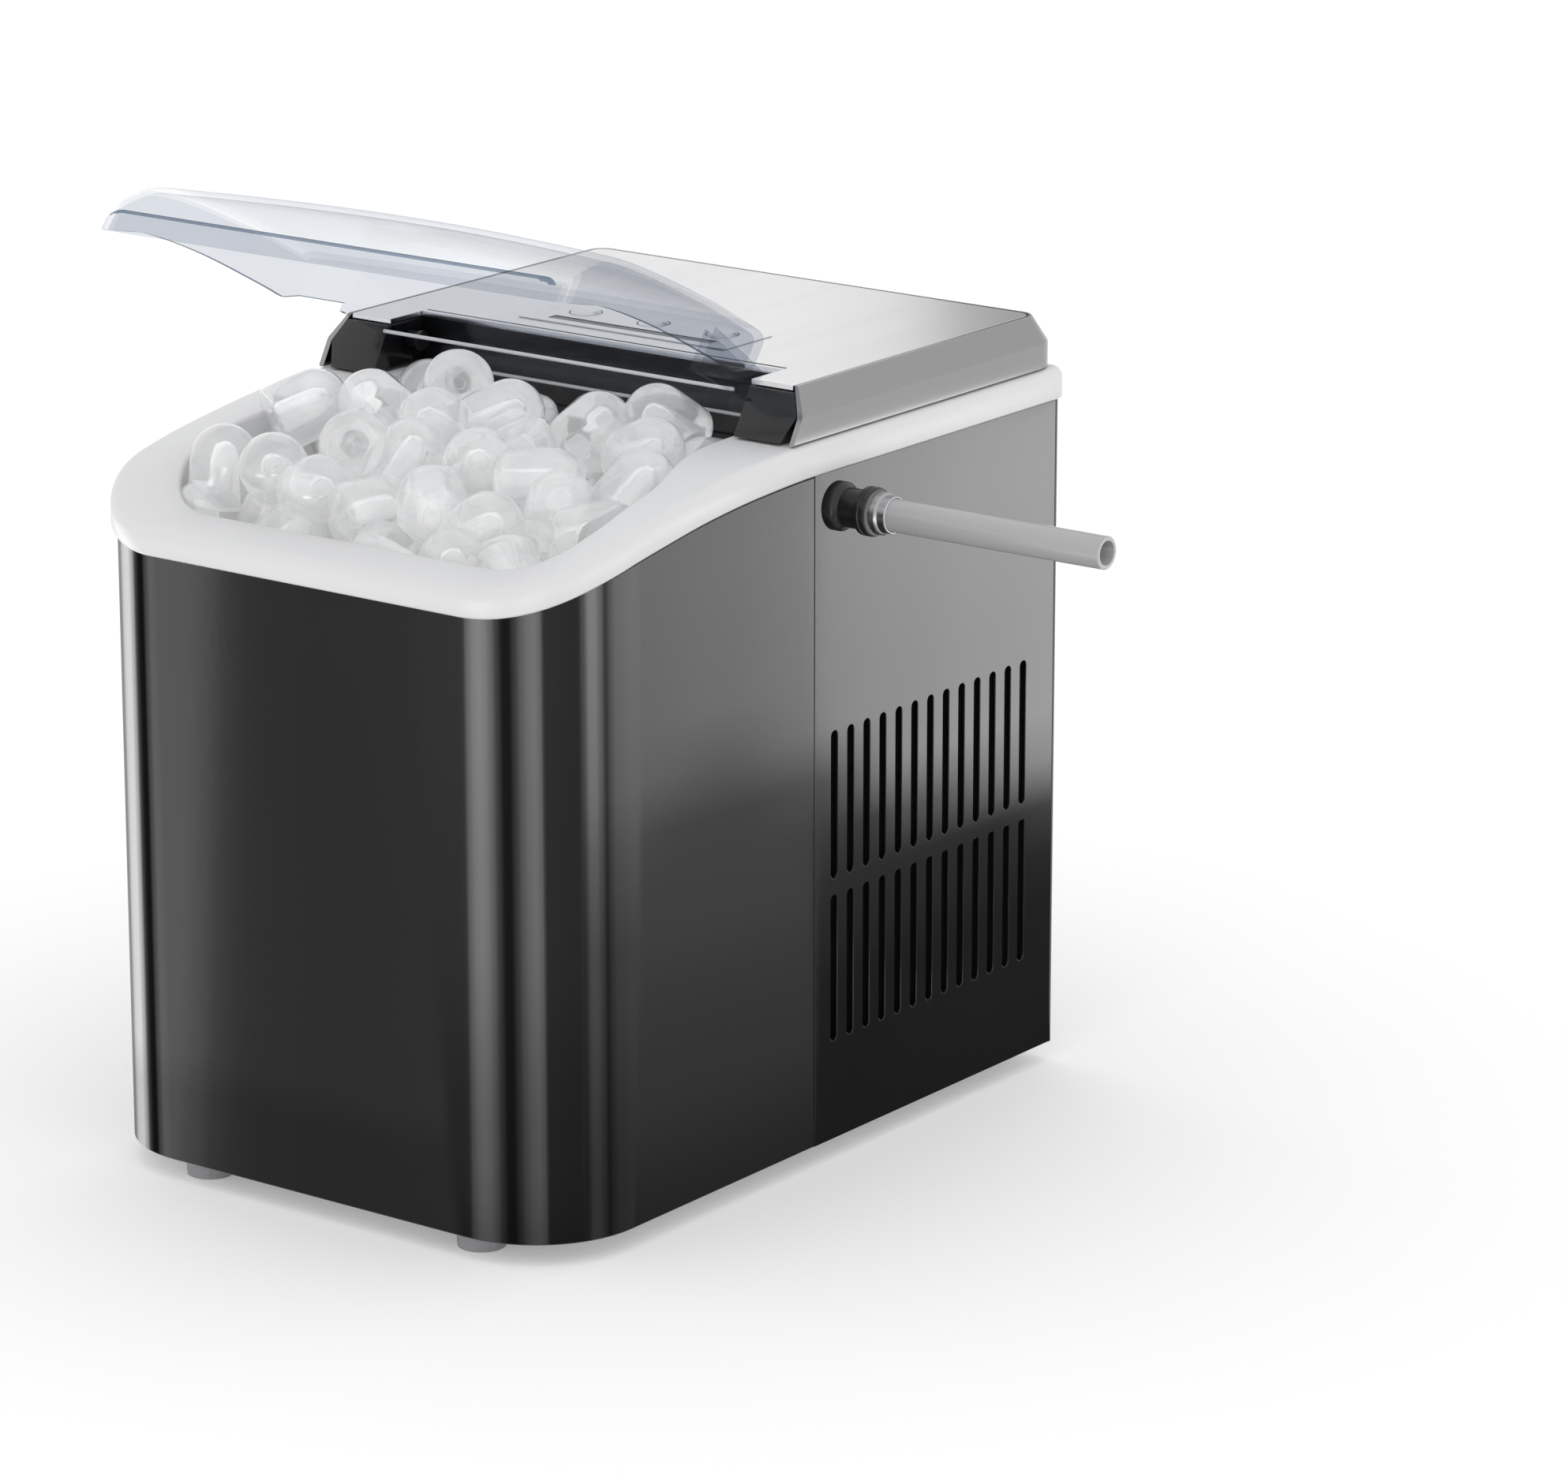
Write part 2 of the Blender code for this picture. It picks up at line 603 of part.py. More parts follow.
def make_hood_cap(name, side):
    top = PANEL_BOTTOM - 0.0004
    outline = [(0.084, 0.2744), (0.1045, 0.2744), (0.1080, 0.2834), (0.1036, top), (0.084, top)]
    mesh = plate([(side * x, z) for x, z in outline], -0.020, 0.020, "Y")
    for vertex in mesh.vertices:
        if vertex.co.y < 0:
            vertex.co.y = hood_front(vertex.co.z) - 0.0006
    cap = add_part(name, mesh, BLACK_GLOSS)
    cut(cap, rod((side * 0.087, LID_AXIS_Y, LID_AXIS_Z), 0.0034, 0.0100, "X", 16))


def make_hood_fascia():
    wide, narrow = 0.0836, RIM_OPENING_HALF_REAR - 0.0004
    shoulder, low, top = HOOD_BOTTOM + GAP, 0.264, PANEL_BOTTOM - 0.0004
    outline = [(0.0150, top), (0.0150, low + 0.0026), (0.0135, low + 0.0022), (0.0135, low), (0.0170, low),
               (0.0170, top)]
    fascia = add_part("hood_fascia", plate(outline, -wide, wide, "X"), BLACK_GLOSS)
    cut(fascia, block((narrow, 0.010, low - 0.005), (wide + 0.005, 0.020, shoulder)),
        block((-wide - 0.005, 0.010, low - 0.005), (-narrow, 0.020, shoulder)))


BUTTONS = (("power_button", -0.032), ("select_button", 0.0), ("clean_button", 0.032))
BUTTON_Y = 0.047
BUTTON_RADIUS = 0.006


def make_controls():
    outline = [(-BEZEL_HALF, BEZEL_FRONT), (BEZEL_HALF, BEZEL_FRONT), (BEZEL_HALF, BEZEL_BACK),
               (-BEZEL_HALF, BEZEL_BACK)]
    holes = [arc(x, BUTTON_Y, BUTTON_RADIUS + 0.0004, 0, 345, 23) for _, x in BUTTONS]
    lens = [(-0.038, 0.0315), (0.038, 0.0315), (0.038, 0.0365), (-0.038, 0.0365)]
    top = HOOD_TOP + 0.0004
    add_part("control_bezel", plate(outline, PANEL_BOTTOM, top, "Z", holes + [lens]), BLACK_GLOSS)
    for name, x in BUTTONS:
        profile = ((0.0, 0.0008), (0.0046, 0.0008), (BUTTON_RADIUS, 0.0), (BUTTON_RADIUS, -0.0060), (0.0, -0.0060))
        button = add_part(name, turned(profile, (x, BUTTON_Y, top), "Z", 20), BLACK_MATT)
        set_pivot(button, (x, BUTTON_Y, top))
    lens = block((-0.0377, 0.0318, PANEL_BOTTOM), (0.0377, 0.0362, top - 0.0002))
    add_part("indicator_lens", lens, CLEAR_BLUE)
    board = [(-0.046, 0.026), (0.046, 0.026), (0.046, 0.058), (-0.046, 0.058)]
    add_part("control_board", plate(board, 0.2838, 0.2854), CIRCUIT)


# Lid, modelled closed and then turned open about its hinge

def lid_half_width(y, inset):
    """Half the lid's width at y, narrowing round the front corners."""
    radius = LID_CORNER - inset
    centre = LID_FRONT + LID_CORNER
    if y >= centre:
        return LID_HALF_WIDTH - inset
    return LID_HALF_WIDTH - LID_CORNER + math.sqrt(max(radius ** 2 - (centre - y) ** 2, 0.0))


def lid_roof(x, y):
    """The roof's height: a side-view curve that is crowned across the width, less so towards both ends."""
    share = min(max((y - LID_ROOF[2][0]) / (LID_BACK - LID_ROOF[2][0]), 0.0), 1.0)
    return height_on(LID_ROOF, y) + LID_CROWN * math.sin(math.pi * share) * (1 - (x / LID_HALF_WIDTH) ** 2)


def lid_floor(y):
    """The lid's lower edge: just above the rim, and stepping up in front of the hood."""
    over_rim = height_on(RIM_CREST, y) + 0.0009
    if y < -0.046:
        return over_rim
    return height_on(RIM_CREST, -0.046) + 0.0009 + (y + 0.046) * 0.55


def lid_dome(inset, drop):
    """The wide part of the lid as a solid, shrunk by the inset, its floor lowered by the drop."""
    front, back = LID_FRONT + inset, LID_BACK - inset
    stations = [front, LID_FRONT + 0.0007 + inset, LID_FRONT + 0.0025 + inset, -0.1465, -0.1435, -0.138, -0.131,
                -0.122, -0.110, -0.096, -0.080, -0.064, -0.048, back]
    rings = []
    for y in stations:
        half = lid_half_width(y, inset)
        edge = height_on(LID_ROOF, y) - inset
        low = lid_floor(y) - drop
        radius = min(LID_EDGE_RADIUS - inset / 2, (edge - lid_floor(y)) * 0.7)
        right = arc(half - radius, edge - radius, radius, 0, 90, 3)
        right += [((half - radius) * share, edge) for share in (0.75, 0.5, 0.25)]
        lift = [(x, y, z + (lid_roof(x, y) - lid_roof(LID_HALF_WIDTH, y) if z > edge - radius else 0.0))
                for x, z in right]
        rings.append([(half, y, low)] + lift + [(0.0, y, edge + lid_roof(0.0, y) - lid_roof(LID_HALF_WIDTH, y))]
                     + [(-x, y, z) for x, y, z in reversed(lift)] + [(-half, y, low)])
    return loft(rings)


def tongue_solid(inset, drop):
    """The lid's narrower rear part, which reaches back to the hinge."""
    y, z = LID_AXIS_Y, LID_AXIS_Z
    end = 0.0062 - inset
    roof = [(-0.044, 0.2922 - inset), (-0.031, 0.2920 - inset), (-0.008, 0.2914 - inset)]
    if drop:
        rest = arc(y, z, end, 75, 0, 3) + [(y + end, z - drop), (-0.044, z - drop)]
    else:
        rest = arc(y, z, end, 90, -90, 8) + [(-0.009, 0.2780), (-0.036, 0.2740), (-0.044, 0.2735)]
    half = TONGUE_HALF_WIDTH - inset
    return plate(list(reversed(roof + rest)), -half, half, "X")


def make_lid():
    axis = (0.0, LID_AXIS_Y, LID_AXIS_Z)
    shift = Matrix.Translation(-Vector(axis))
    lid = add_part("lid_shell", lid_dome(0.0, 0.0), CLEAR_BLUE)
    set_pivot(lid, axis)
    lid.rotation_euler.x = -LID_REST_ANGLE
    additions = [tongue_solid(0.0, 0.0)]
    removals = [lid_dome(LID_WALL, 0.010), tongue_solid(LID_WALL, 0.025),
                rod((0.0, LID_AXIS_Y, LID_AXIS_Z), 0.0033, 0.2, "X", 16)]
    for mesh in additions + removals:
        mesh.transform(shift)
    join(lid, *additions)
    cut(lid, *removals)
    for side, name in ((-1, "hinge_pin_left"), (1, "hinge_pin_right")):
        profile = ((0.0, 0.0905), (0.0030, 0.0905), (0.0030, 0.0796), (0.0036, 0.0796), (0.0036, 0.0776),
                   (0.0, 0.0776))
        mesh = turned(profile, (0.0, 0.0, 0.0), "X", 16)
        if side < 0:
            mesh.transform(Matrix.Rotation(math.pi, 4, "Z"))
        pin = add_part(name, mesh, BLACK_MATT)
        pin.location = axis


# Water outlet on the right side

def make_drain():
    def fitting(name, outer, bore, finish):
        low, high = outer[-1][1], outer[0][1]
        mesh = turned(tuple(outer) + ((bore, low), (bore, high)), (0.0, DRAIN_Y, DRAIN_Z), "X", 24, True)
        add_part(name, mesh, finish)

    wall = HALF_WIDTH + GAP
    fitting("drain_flange", ((0.00725, 0.1247), (0.00725, 0.1166), (0.0090, 0.1158), (0.0090, wall),
                             (0.0058, wall), (0.0058, 0.1045)), 0.0042, BLACK_GLOSS)
    fitting("drain_nut", ((0.0084, 0.1300), (0.0090, 0.1292), (0.0090, 0.1258), (0.0084, 0.1250)), 0.0063,
            BLACK_GLOSS)
    fitting("drain_collar", ((0.0069, 0.1375), (0.0069, 0.1343), (0.0078, 0.1338), (0.0078, 0.1312),
                             (0.0069, 0.1308), (0.0069, 0.1303)), 0.0063, CHROME)
    fitting("drain_pipe", ((0.0060, PIPE_END), (0.0060, 0.1253)), 0.0045, GREY_PLASTIC)


# Ice-making mechanism

def make_evaporator():
    bar = add_part("evaporator", block((-0.0532, 0.023, 0.262), (0.0532, 0.053, 0.270)), CHROME)
    front = [(-0.050 + 0.025 * i, 0.029) for i in range(5)]
    rear = [(-0.0375 + 0.025 * i, 0.047) for i in range(4)]
    for x, y in front + rear:
        join(bar, rod((x, y, 0.2505), 0.0038, 0.0250, "Z", 10, 0.0045))


def make_water_tray():
    half, wall = 0.056, 0.0016
    outer = arc(TRAY_AXIS_Y, TRAY_AXIS_Z, TRAY_RADIUS, 180, 360, 12)
    inner = arc(TRAY_AXIS_Y, TRAY_AXIS_Z + 0.001, TRAY_RADIUS - wall, 180, 360, 12)
    axis = (0.0, TRAY_AXIS_Y, TRAY_AXIS_Z)
    shift = Matrix.Translation(-Vector(axis))
    tray = add_part("water_tray", plate(outer, -half, half, "X"), WHITE_PLASTIC)
    set_pivot(tray, axis)
    mesh = plate(inner, -half + wall, half - wall, "X")
    mesh.transform(shift)
    cut(tray, mesh)
    for side in (-1, 1):
        lug = rod((side * (half + 0.0038), TRAY_AXIS_Y, TRAY_AXIS_Z), 0.0030, 0.0110, "X", 12)
        boss = rod((side * (half - wall / 2), TRAY_AXIS_Y, TRAY_AXIS_Z), 0.0060, wall, "X", 12)
        for mesh in (boss, lug):
            mesh.transform(shift)
        join(tray, boss, lug)


def make_tray_supports():
    for side, name in ((-1, "tray_bracket_left"), (1, "tray_bracket_right")):
        low, high = sorted((side * 0.062, side * 0.065))
        outline = [(0.028, 0.240), (0.048, 0.240), (0.048, 0.2766), (0.028, 0.2766)]
        bracket = add_part(name, plate(outline, low, high, "X"), GREY_PLASTIC)
        low, high = sorted((side * 0.0635, side * 0.090))
        join(bracket, block((low, 0.028, HOOD_BOTTOM), (high, 0.048, 0.2766)))
        cut(bracket, rod((side * 0.0635, TRAY_AXIS_Y, TRAY_AXIS_Z), 0.0034, 0.010, "X", 16))
    motor = add_part("tray_motor", rod((-0.0725, TRAY_AXIS_Y, TRAY_AXIS_Z), 0.012, 0.0130, "X", 20), GALVANISED)
    cut(motor, rod((-0.066, TRAY_AXIS_Y, TRAY_AXIS_Z), 0.0034, 0.004, "X", 12))
    for side, name in ((-1, "shovel_rail_left"), (1, "shovel_rail_right")):
        low, high = sorted((side * 0.058, side * 0.061))
        add_part(name, block((low, -0.040, 0.249), (high, 0.0277, 0.253)), GREY_PLASTIC)


def make_ice_shovel():
    outline = [(0.006, 0.241), (0.009, 0.241), (0.009, 0.262), (0.006, 0.262), (0.0045, 0.256), (0.0045, 0.246)]
    shovel = add_part("ice_shovel", plate(outline, -0.0576, 0.0576, "X"), WHITE_PLASTIC)
    set_pivot(shovel, (0.0, SHOVEL_Y, 0.251))


def make_sensor():
    add_part("ice_full_sensor", block((-0.0797, -0.020, 0.250), (-0.072, -0.010, 0.262), 0.001), BLACK_MATT)


# Cooling system

def make_compressor():
    profile = ((0.0, 0.106), (0.024, 0.105), (0.037, 0.099), (0.042, 0.088), (0.042, 0.034), (0.037, 0.022),
               (0.024, 0.0165), (0.0, 0.016))
    compressor = add_part("compressor", turned(profile, (-0.045, 0.085, 0.0), "Z", 24), BLACK_PAINT)
    join(compressor, block((-0.092, 0.071, 0.0114), (0.002, 0.099, 0.020)))


def make_condenser_and_fan():
    core = add_part("condenser_core", block((0.084, 0.012, 0.022), (0.102, 0.130, 0.106)), GALVANISED)
    join(core, block((0.086, 0.020, 0.0114), (0.100, 0.032, 0.030)),
         block((0.086, 0.110, 0.0114), (0.100, 0.122, 0.030)))
    outline = [(0.028, 0.0114), (0.116, 0.0114), (0.116, 0.107), (0.028, 0.107)]
    ring = arc(FAN_Y, FAN_Z, FAN_RADIUS + 0.0015, 0, 345, 23)
    add_part("fan_shroud", plate(outline, 0.072, 0.0835, "X", [ring]), BLACK_MATT)
    rotor = add_part("fan_rotor", rod((FAN_X, FAN_Y, FAN_Z), 0.014, 0.0105, "X", 20), BLACK_MATT)
    set_pivot(rotor, (FAN_X, FAN_Y, FAN_Z))
    for blade in range(5):
        mesh = block((-0.0010, -0.0115, 0.0110), (0.0010, 0.0115, FAN_RADIUS))
        mesh.transform(Matrix.Rotation(blade * math.tau / 5, 4, "X") @ Matrix.Rotation(math.radians(20), 4, "Z"))
        join(rotor, mesh)
    motor = add_part("fan_motor", rod((0.0440, FAN_Y, FAN_Z), 0.016, 0.028, "X", 20), GALVANISED)
    join(motor, block((0.036, FAN_Y - 0.006, 0.0114), (0.050, FAN_Y + 0.006, FAN_Z)))


def make_lines():
    dryer = ((0.0, 0.100), (0.003, 0.100), (0.009, 0.092), (0.009, 0.032), (0.003, 0.024), (0.0, 0.024))
    add_part("dryer_filter", turned(dryer, (0.020, 0.120, 0.0), "Z", 16), COPPER)
    discharge = ((-0.012, 0.119, 0.060), (0.002, 0.136, 0.060), (0.030, 0.141, 0.060), (0.070, 0.141, 0.060),
                 (0.090, 0.139, 0.060), (0.093, 0.1308, 0.060))
    add_part("discharge_line", pipe(discharge, 0.0025), COPPER)
    suction = ((-0.060, 0.127, 0.080), (-0.060, 0.139, 0.092), (-0.060, 0.141, 0.150), (-0.060, 0.134, 0.195),
               (-0.060, 0.110, 0.213), (-0.059, 0.092, 0.222), (-0.056, 0.084, 0.245), (-0.053, 0.072, 0.272),
               (-0.052, 0.056, 0.2825), (-0.0502, 0.043, 0.2815), (-0.0500, 0.038, 0.2760), (-0.0500, 0.038, 0.2706))
    add_part("suction_line", pipe(suction, 0.003), COPPER)
    pump = ((0.0, 0.200), (0.0135, 0.200), (0.0145, 0.197), (0.0145, 0.160), (0.011, 0.155), (0.0, 0.155))
    add_part("water_pump", turned(pump, (0.045, 0.097, 0.0), "Z", 20), BLACK_MATT)
    drain_hose = ((0.045, 0.097, 0.2008), (0.045, 0.097, 0.205), (0.053, 0.096, 0.212), (0.072, 0.093, 0.2135),
                  (0.093, 0.083, 0.214),
                  (0.101, 0.060, 0.216), (0.1005, 0.036, 0.229), (0.094, 0.016, 0.2455), (0.097, DRAIN_Y, DRAIN_Z),
                  (0.1040, DRAIN_Y, DRAIN_Z))
    add_part("drain_hose", pipe(drain_hose, 0.004), RUBBER_GREY)
    supply = ((0.045, 0.0766, 0.130), (0.045, 0.084, 0.130), (0.045, 0.095, 0.137), (0.045, 0.097, 0.148),
              (0.045, 0.097, 0.1542))
    add_part("supply_hose", pipe(supply, 0.004), RUBBER_GREY)


# Power inlet, boards and insulation

def make_power_inlet():
    y = HALF_DEPTH
    inlet = add_part("power_inlet", block((-0.0720, y + GAP, 0.0280), (-0.0380, y + 0.0014, 0.0540)), BLACK_MATT)
    join(inlet, block((-0.0699, y - 0.016, 0.0301), (-0.0401, y + 0.0010, 0.0519)))
    cut(inlet, block((-0.0672, y - 0.013, 0.0328), (-0.0428, y + 0.004, 0.0492)))
    for x in (-0.0610, -0.0550, -0.0490):
        join(inlet, block((x - 0.001, y - 0.014, 0.0385), (x + 0.001, y - 0.004, 0.0435)))


def make_boards():
    board = [(-0.060, -0.120), (0.060, -0.120), (0.060, -0.040), (-0.060, -0.040)]
    power = add_part("power_board", plate(board, 0.024, 0.026), CIRCUIT)
    join(power, block((-0.045, -0.110, 0.025), (-0.010, -0.080, 0.055)),
         block((0.012, -0.105, 0.025), (0.050, -0.062, 0.046)))
    for x in (-0.054, 0.054):
        for y in (-0.114, -0.046):
            join(power, rod((x, y, 0.0182), 0.003, 0.0136, "Z", 8))
    outline = rounded_outline(0.104, -0.146, 0.008, 0.036, 0.004, 6)
    add_part("foam_insulation", plate(outline, 0.084, TANK_FLOOR - 0.0026), FOAM)


make_front_cover()
make_side_panel("left_side_panel", -1)
right_panel = make_side_panel("right_side_panel", 1)
cut(right_panel, rod((HALF_WIDTH, DRAIN_Y, DRAIN_Z), 0.0062, 0.02, "X", 20))
make_back_panel()
make_base()
make_top_rim()
make_inner_tank()
make_ice_basket()
make_hood_shell()
make_hood_top_panel()
make_hood_cap("hood_cap_left", -1)
make_hood_cap("hood_cap_right", 1)
make_hood_fascia()
make_controls()
make_lid()
make_drain()
make_evaporator()
make_water_tray()
make_tray_supports()
make_ice_shovel()
make_sensor()
make_compressor()
make_condenser_and_fan()
make_lines()
make_power_inlet()
make_boards()
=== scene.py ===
"""Looks of the countertop ice maker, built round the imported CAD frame. Metres, +Z up, front towards -Y."""

import json
import math
import random

import bmesh
import bpy
from mathutils import Matrix, Vector


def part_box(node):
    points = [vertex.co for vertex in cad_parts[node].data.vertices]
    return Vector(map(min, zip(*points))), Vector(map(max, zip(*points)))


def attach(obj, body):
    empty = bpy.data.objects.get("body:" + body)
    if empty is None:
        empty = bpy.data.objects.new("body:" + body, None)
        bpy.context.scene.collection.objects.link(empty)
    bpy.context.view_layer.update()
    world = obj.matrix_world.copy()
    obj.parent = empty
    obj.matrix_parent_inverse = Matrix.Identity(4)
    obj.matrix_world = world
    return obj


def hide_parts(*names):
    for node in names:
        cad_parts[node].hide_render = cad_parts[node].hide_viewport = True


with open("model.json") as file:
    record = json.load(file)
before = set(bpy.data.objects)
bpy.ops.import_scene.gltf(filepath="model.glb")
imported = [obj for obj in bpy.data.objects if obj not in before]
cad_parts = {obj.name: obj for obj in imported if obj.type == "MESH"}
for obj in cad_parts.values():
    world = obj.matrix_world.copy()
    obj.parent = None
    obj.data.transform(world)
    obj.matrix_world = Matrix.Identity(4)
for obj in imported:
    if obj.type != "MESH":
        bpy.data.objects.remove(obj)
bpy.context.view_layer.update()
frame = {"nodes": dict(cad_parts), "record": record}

random.seed(7)

# Places taken from the frame
COVER_LOW, COVER_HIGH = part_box("front_cover")
RIM_LOW, RIM_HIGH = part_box("top_rim")
PANEL_LOW, PANEL_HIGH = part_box("hood_top_panel")
CENTRE_X = (COVER_LOW[0] + COVER_HIGH[0]) / 2
HALF_WIDTH = (COVER_HIGH[0] - COVER_LOW[0]) / 2
FRONT_Y = COVER_LOW[1]
HALF_DEPTH = -FRONT_Y
FLOOR_EDGE = COVER_LOW[2]
RIM_HALF = (RIM_HIGH[0] - RIM_LOW[0]) / 2
HOOD_TOP = PANEL_HIGH[2]
JOINTS = {joint["name"]: joint for joint in frame["record"]["behaviour"]["joints"]}
LID_AXIS = Vector(JOINTS["lid_hinge"]["pos_m"])
LID_REST = math.radians(-JOINTS["lid_hinge"]["range_deg"][0])

# Sizes repeated from the CAD source
CORNER = 0.042
FLAT_HALF = 0.069
REAR_CORNER = 0.004
SHEET = 0.0016
SEAM_Y = -0.003
SEAM = 0.0004
SIDE_TOP = 0.2614
VENT_COLUMNS = [0.0094 + 0.010 * i for i in range(13)]
VENT_ROWS = ((0.046, 0.102), (0.1083, 0.1643))
VENT_WIDTH = 0.004
OUTLET_Y = 0.0093
OUTLET_Z = 0.2485
LID_HALF = 0.105
TONGUE_HALF = 0.0822
LID_WALL = 0.0022
RIM_UNDERSIDE = ((-0.155, 0.2352), (-0.120, 0.2483), (-0.092, 0.2536), (-0.064, 0.2578), (-0.037, 0.2603),
                 (-0.003, 0.2617), (0.155, 0.2617))
BASIN_FRONT = -0.130
BASIN_FRONT_HALF = 0.064
BASIN_CORNER = 0.030
RIM_CREST = ((-0.156, 0.2452), (-0.139, 0.2524), (-0.127, 0.2575), (-0.112, 0.2616), (-0.092, 0.2657),
             (-0.072, 0.2687), (-0.046, 0.2718), (-0.003, 0.2738), (0.155, 0.2738))
LID_ROOF = ((-0.1525, 0.2480), (-0.1518, 0.2562), (-0.1500, 0.2572), (-0.143, 0.2664), (-0.133, 0.2742),
            (-0.120, 0.2787), (-0.105, 0.2824), (-0.085, 0.2863), (-0.060, 0.2906), (-0.036, 0.2935))
LID_FRONT = -0.1525
LID_BACK = -0.036
LID_CORNER = 0.009
LID_CROWN = 0.0055
LID_EDGE_RADIUS = 0.006
HINGE_PIN_RADIUS = 0.0033

# Camera, as seen from the front right and a little above
CAMERA_AIM = Vector((0.0033, 0.0456, 0.1440))
CAMERA_BACK = Vector((0.5740, -0.7715, 0.2745)).normalized()
CAMERA_DISTANCE = 2.4503
CAMERA_LENS = 151.45

AXIS_TURNS = {
    "X": Matrix(((0, 0, 1), (1, 0, 0), (0, 1, 0))).to_4x4(),
    "Y": Matrix(((1, 0, 0), (0, 0, -1), (0, 1, 0))).to_4x4(),
    "Z": Matrix.Identity(4),
}


# Materials

class Nodes:
    """A material's node tree, with short calls for the nodes that the finishes share."""

    def __init__(self, name):
        self.material = bpy.data.materials.new(name)
        self.material.use_nodes = True
        self.tree = self.material.node_tree
        self.shader = self.tree.nodes["Principled BSDF"]
        self.place = self.tree.nodes.new("ShaderNodeTexCoord").outputs["Object"]

    def set(self, **values):
        """Sets the shader's sockets, written with _ for a space."""
        for name, value in values.items():
            socket = self.shader.inputs[name.replace("_", " ")]
            if isinstance(value, tuple) and len(socket.default_value) == 4:
                value = (*value, 1.0)
            socket.default_value = value
        return self

    def stretched(self, scale):
        mapping = self.tree.nodes.new("ShaderNodeMapping")
        mapping.inputs["Scale"].default_value = scale
        self.tree.links.new(self.place, mapping.inputs["Vector"])
        return mapping.outputs["Vector"]

    def noise(self, scale, detail=4.0, stretch=(1, 1, 1)):
        noise = self.tree.nodes.new("ShaderNodeTexNoise")
        noise.inputs["Scale"].default_value = scale
        noise.inputs["Detail"].default_value = detail
        self.tree.links.new(self.stretched(stretch), noise.inputs["Vector"])
        return noise.outputs["Fac"]

    def remap(self, value, low, high, start=0.3, end=0.7):
        """Stretches a value between start and end to run from low to high."""
        node = self.tree.nodes.new("ShaderNodeMapRange")
        for name, number in (("From Min", start), ("From Max", end), ("To Min", low), ("To Max", high)):
            node.inputs[name].default_value = number
        self.tree.links.new(value, node.inputs["Value"])
        return node.outputs["Result"]

    def blend(self, factor, first, second):
        """Mixes two tones into the base colour."""
        mix = self.tree.nodes.new("ShaderNodeMix")
        mix.data_type = "RGBA"
        self.tree.links.new(factor, mix.inputs["Factor"])
        mix.inputs[6].default_value = (*first, 1.0)
        mix.inputs[7].default_value = (*second, 1.0)
        self.tree.links.new(mix.outputs[2], self.shader.inputs["Base Color"])

    def roughness(self, value, low, high):
        self.tree.links.new(self.remap(value, low, high), self.shader.inputs["Roughness"])

    def bump(self, height, strength, distance):
        node = self.tree.nodes.new("ShaderNodeBump")
        node.inputs["Strength"].default_value = strength
        node.inputs["Distance"].default_value = distance
        self.tree.links.new(height, node.inputs["Height"])
        self.tree.links.new(node.outputs["Normal"], self.shader.inputs["Normal"])


def gloss_black(name, colour=(0.006, 0.006, 0.0065), rough=0.045):
    """Polished black plastic: very faint orange peel and a trace of handling haze."""
    n = Nodes(name).set(IOR=1.5)
    n.blend(n.remap(n.noise(9.0, 3.0), 0.0, 1.0), colour, tuple(c * 1.6 for c in colour))
    n.roughness(n.noise(22.0, 5.0), rough, rough * 1.5)
    n.bump(n.noise(240.0, 2.0), 0.03, 0.0002)
    return n.material


def moulded(name, colour, rough, grain=900.0, depth=0.05, shade=0.96):
    """Moulded plastic or rubber with a fine grain and slight tone changes."""
    n = Nodes(name).set(IOR=1.48)
    n.blend(n.remap(n.noise(14.0, 4.0), 0.0, 1.0), colour, tuple(c * shade for c in colour))
    n.roughness(n.noise(60.0, 4.0), rough * 0.9, min(rough * 1.12, 1.0))
    n.bump(n.noise(grain, 3.0), depth, 0.0002)
    return n.material


def brushed(name, colour, rough, stretch, streak=0.93):
    """Metal brushed in one direction: streaks in tone, roughness and height."""
    n = Nodes(name).set(Metallic=1.0)
    fine = n.noise(6.0, 6.0, stretch)
    n.blend(n.remap(fine, 0.0, 1.0), colour, tuple(c * streak for c in colour))
    n.roughness(n.noise(4.0, 5.0, stretch), rough * 0.85, rough * 1.2)
    n.bump(fine, 0.04, 0.0002)
    return n.material


def polished_metal(name, colour, rough):
    """Smooth metal with a slight change of tone and gloss."""
    n = Nodes(name).set(Metallic=1.0)
    n.blend(n.remap(n.noise(30.0, 3.0), 0.0, 1.0), colour, tuple(c * 0.9 for c in colour))
    n.roughness(n.noise(80.0, 4.0), rough, rough * 1.8)
    n.bump(n.noise(400.0, 2.0), 0.03, 0.0001)
    return n.material


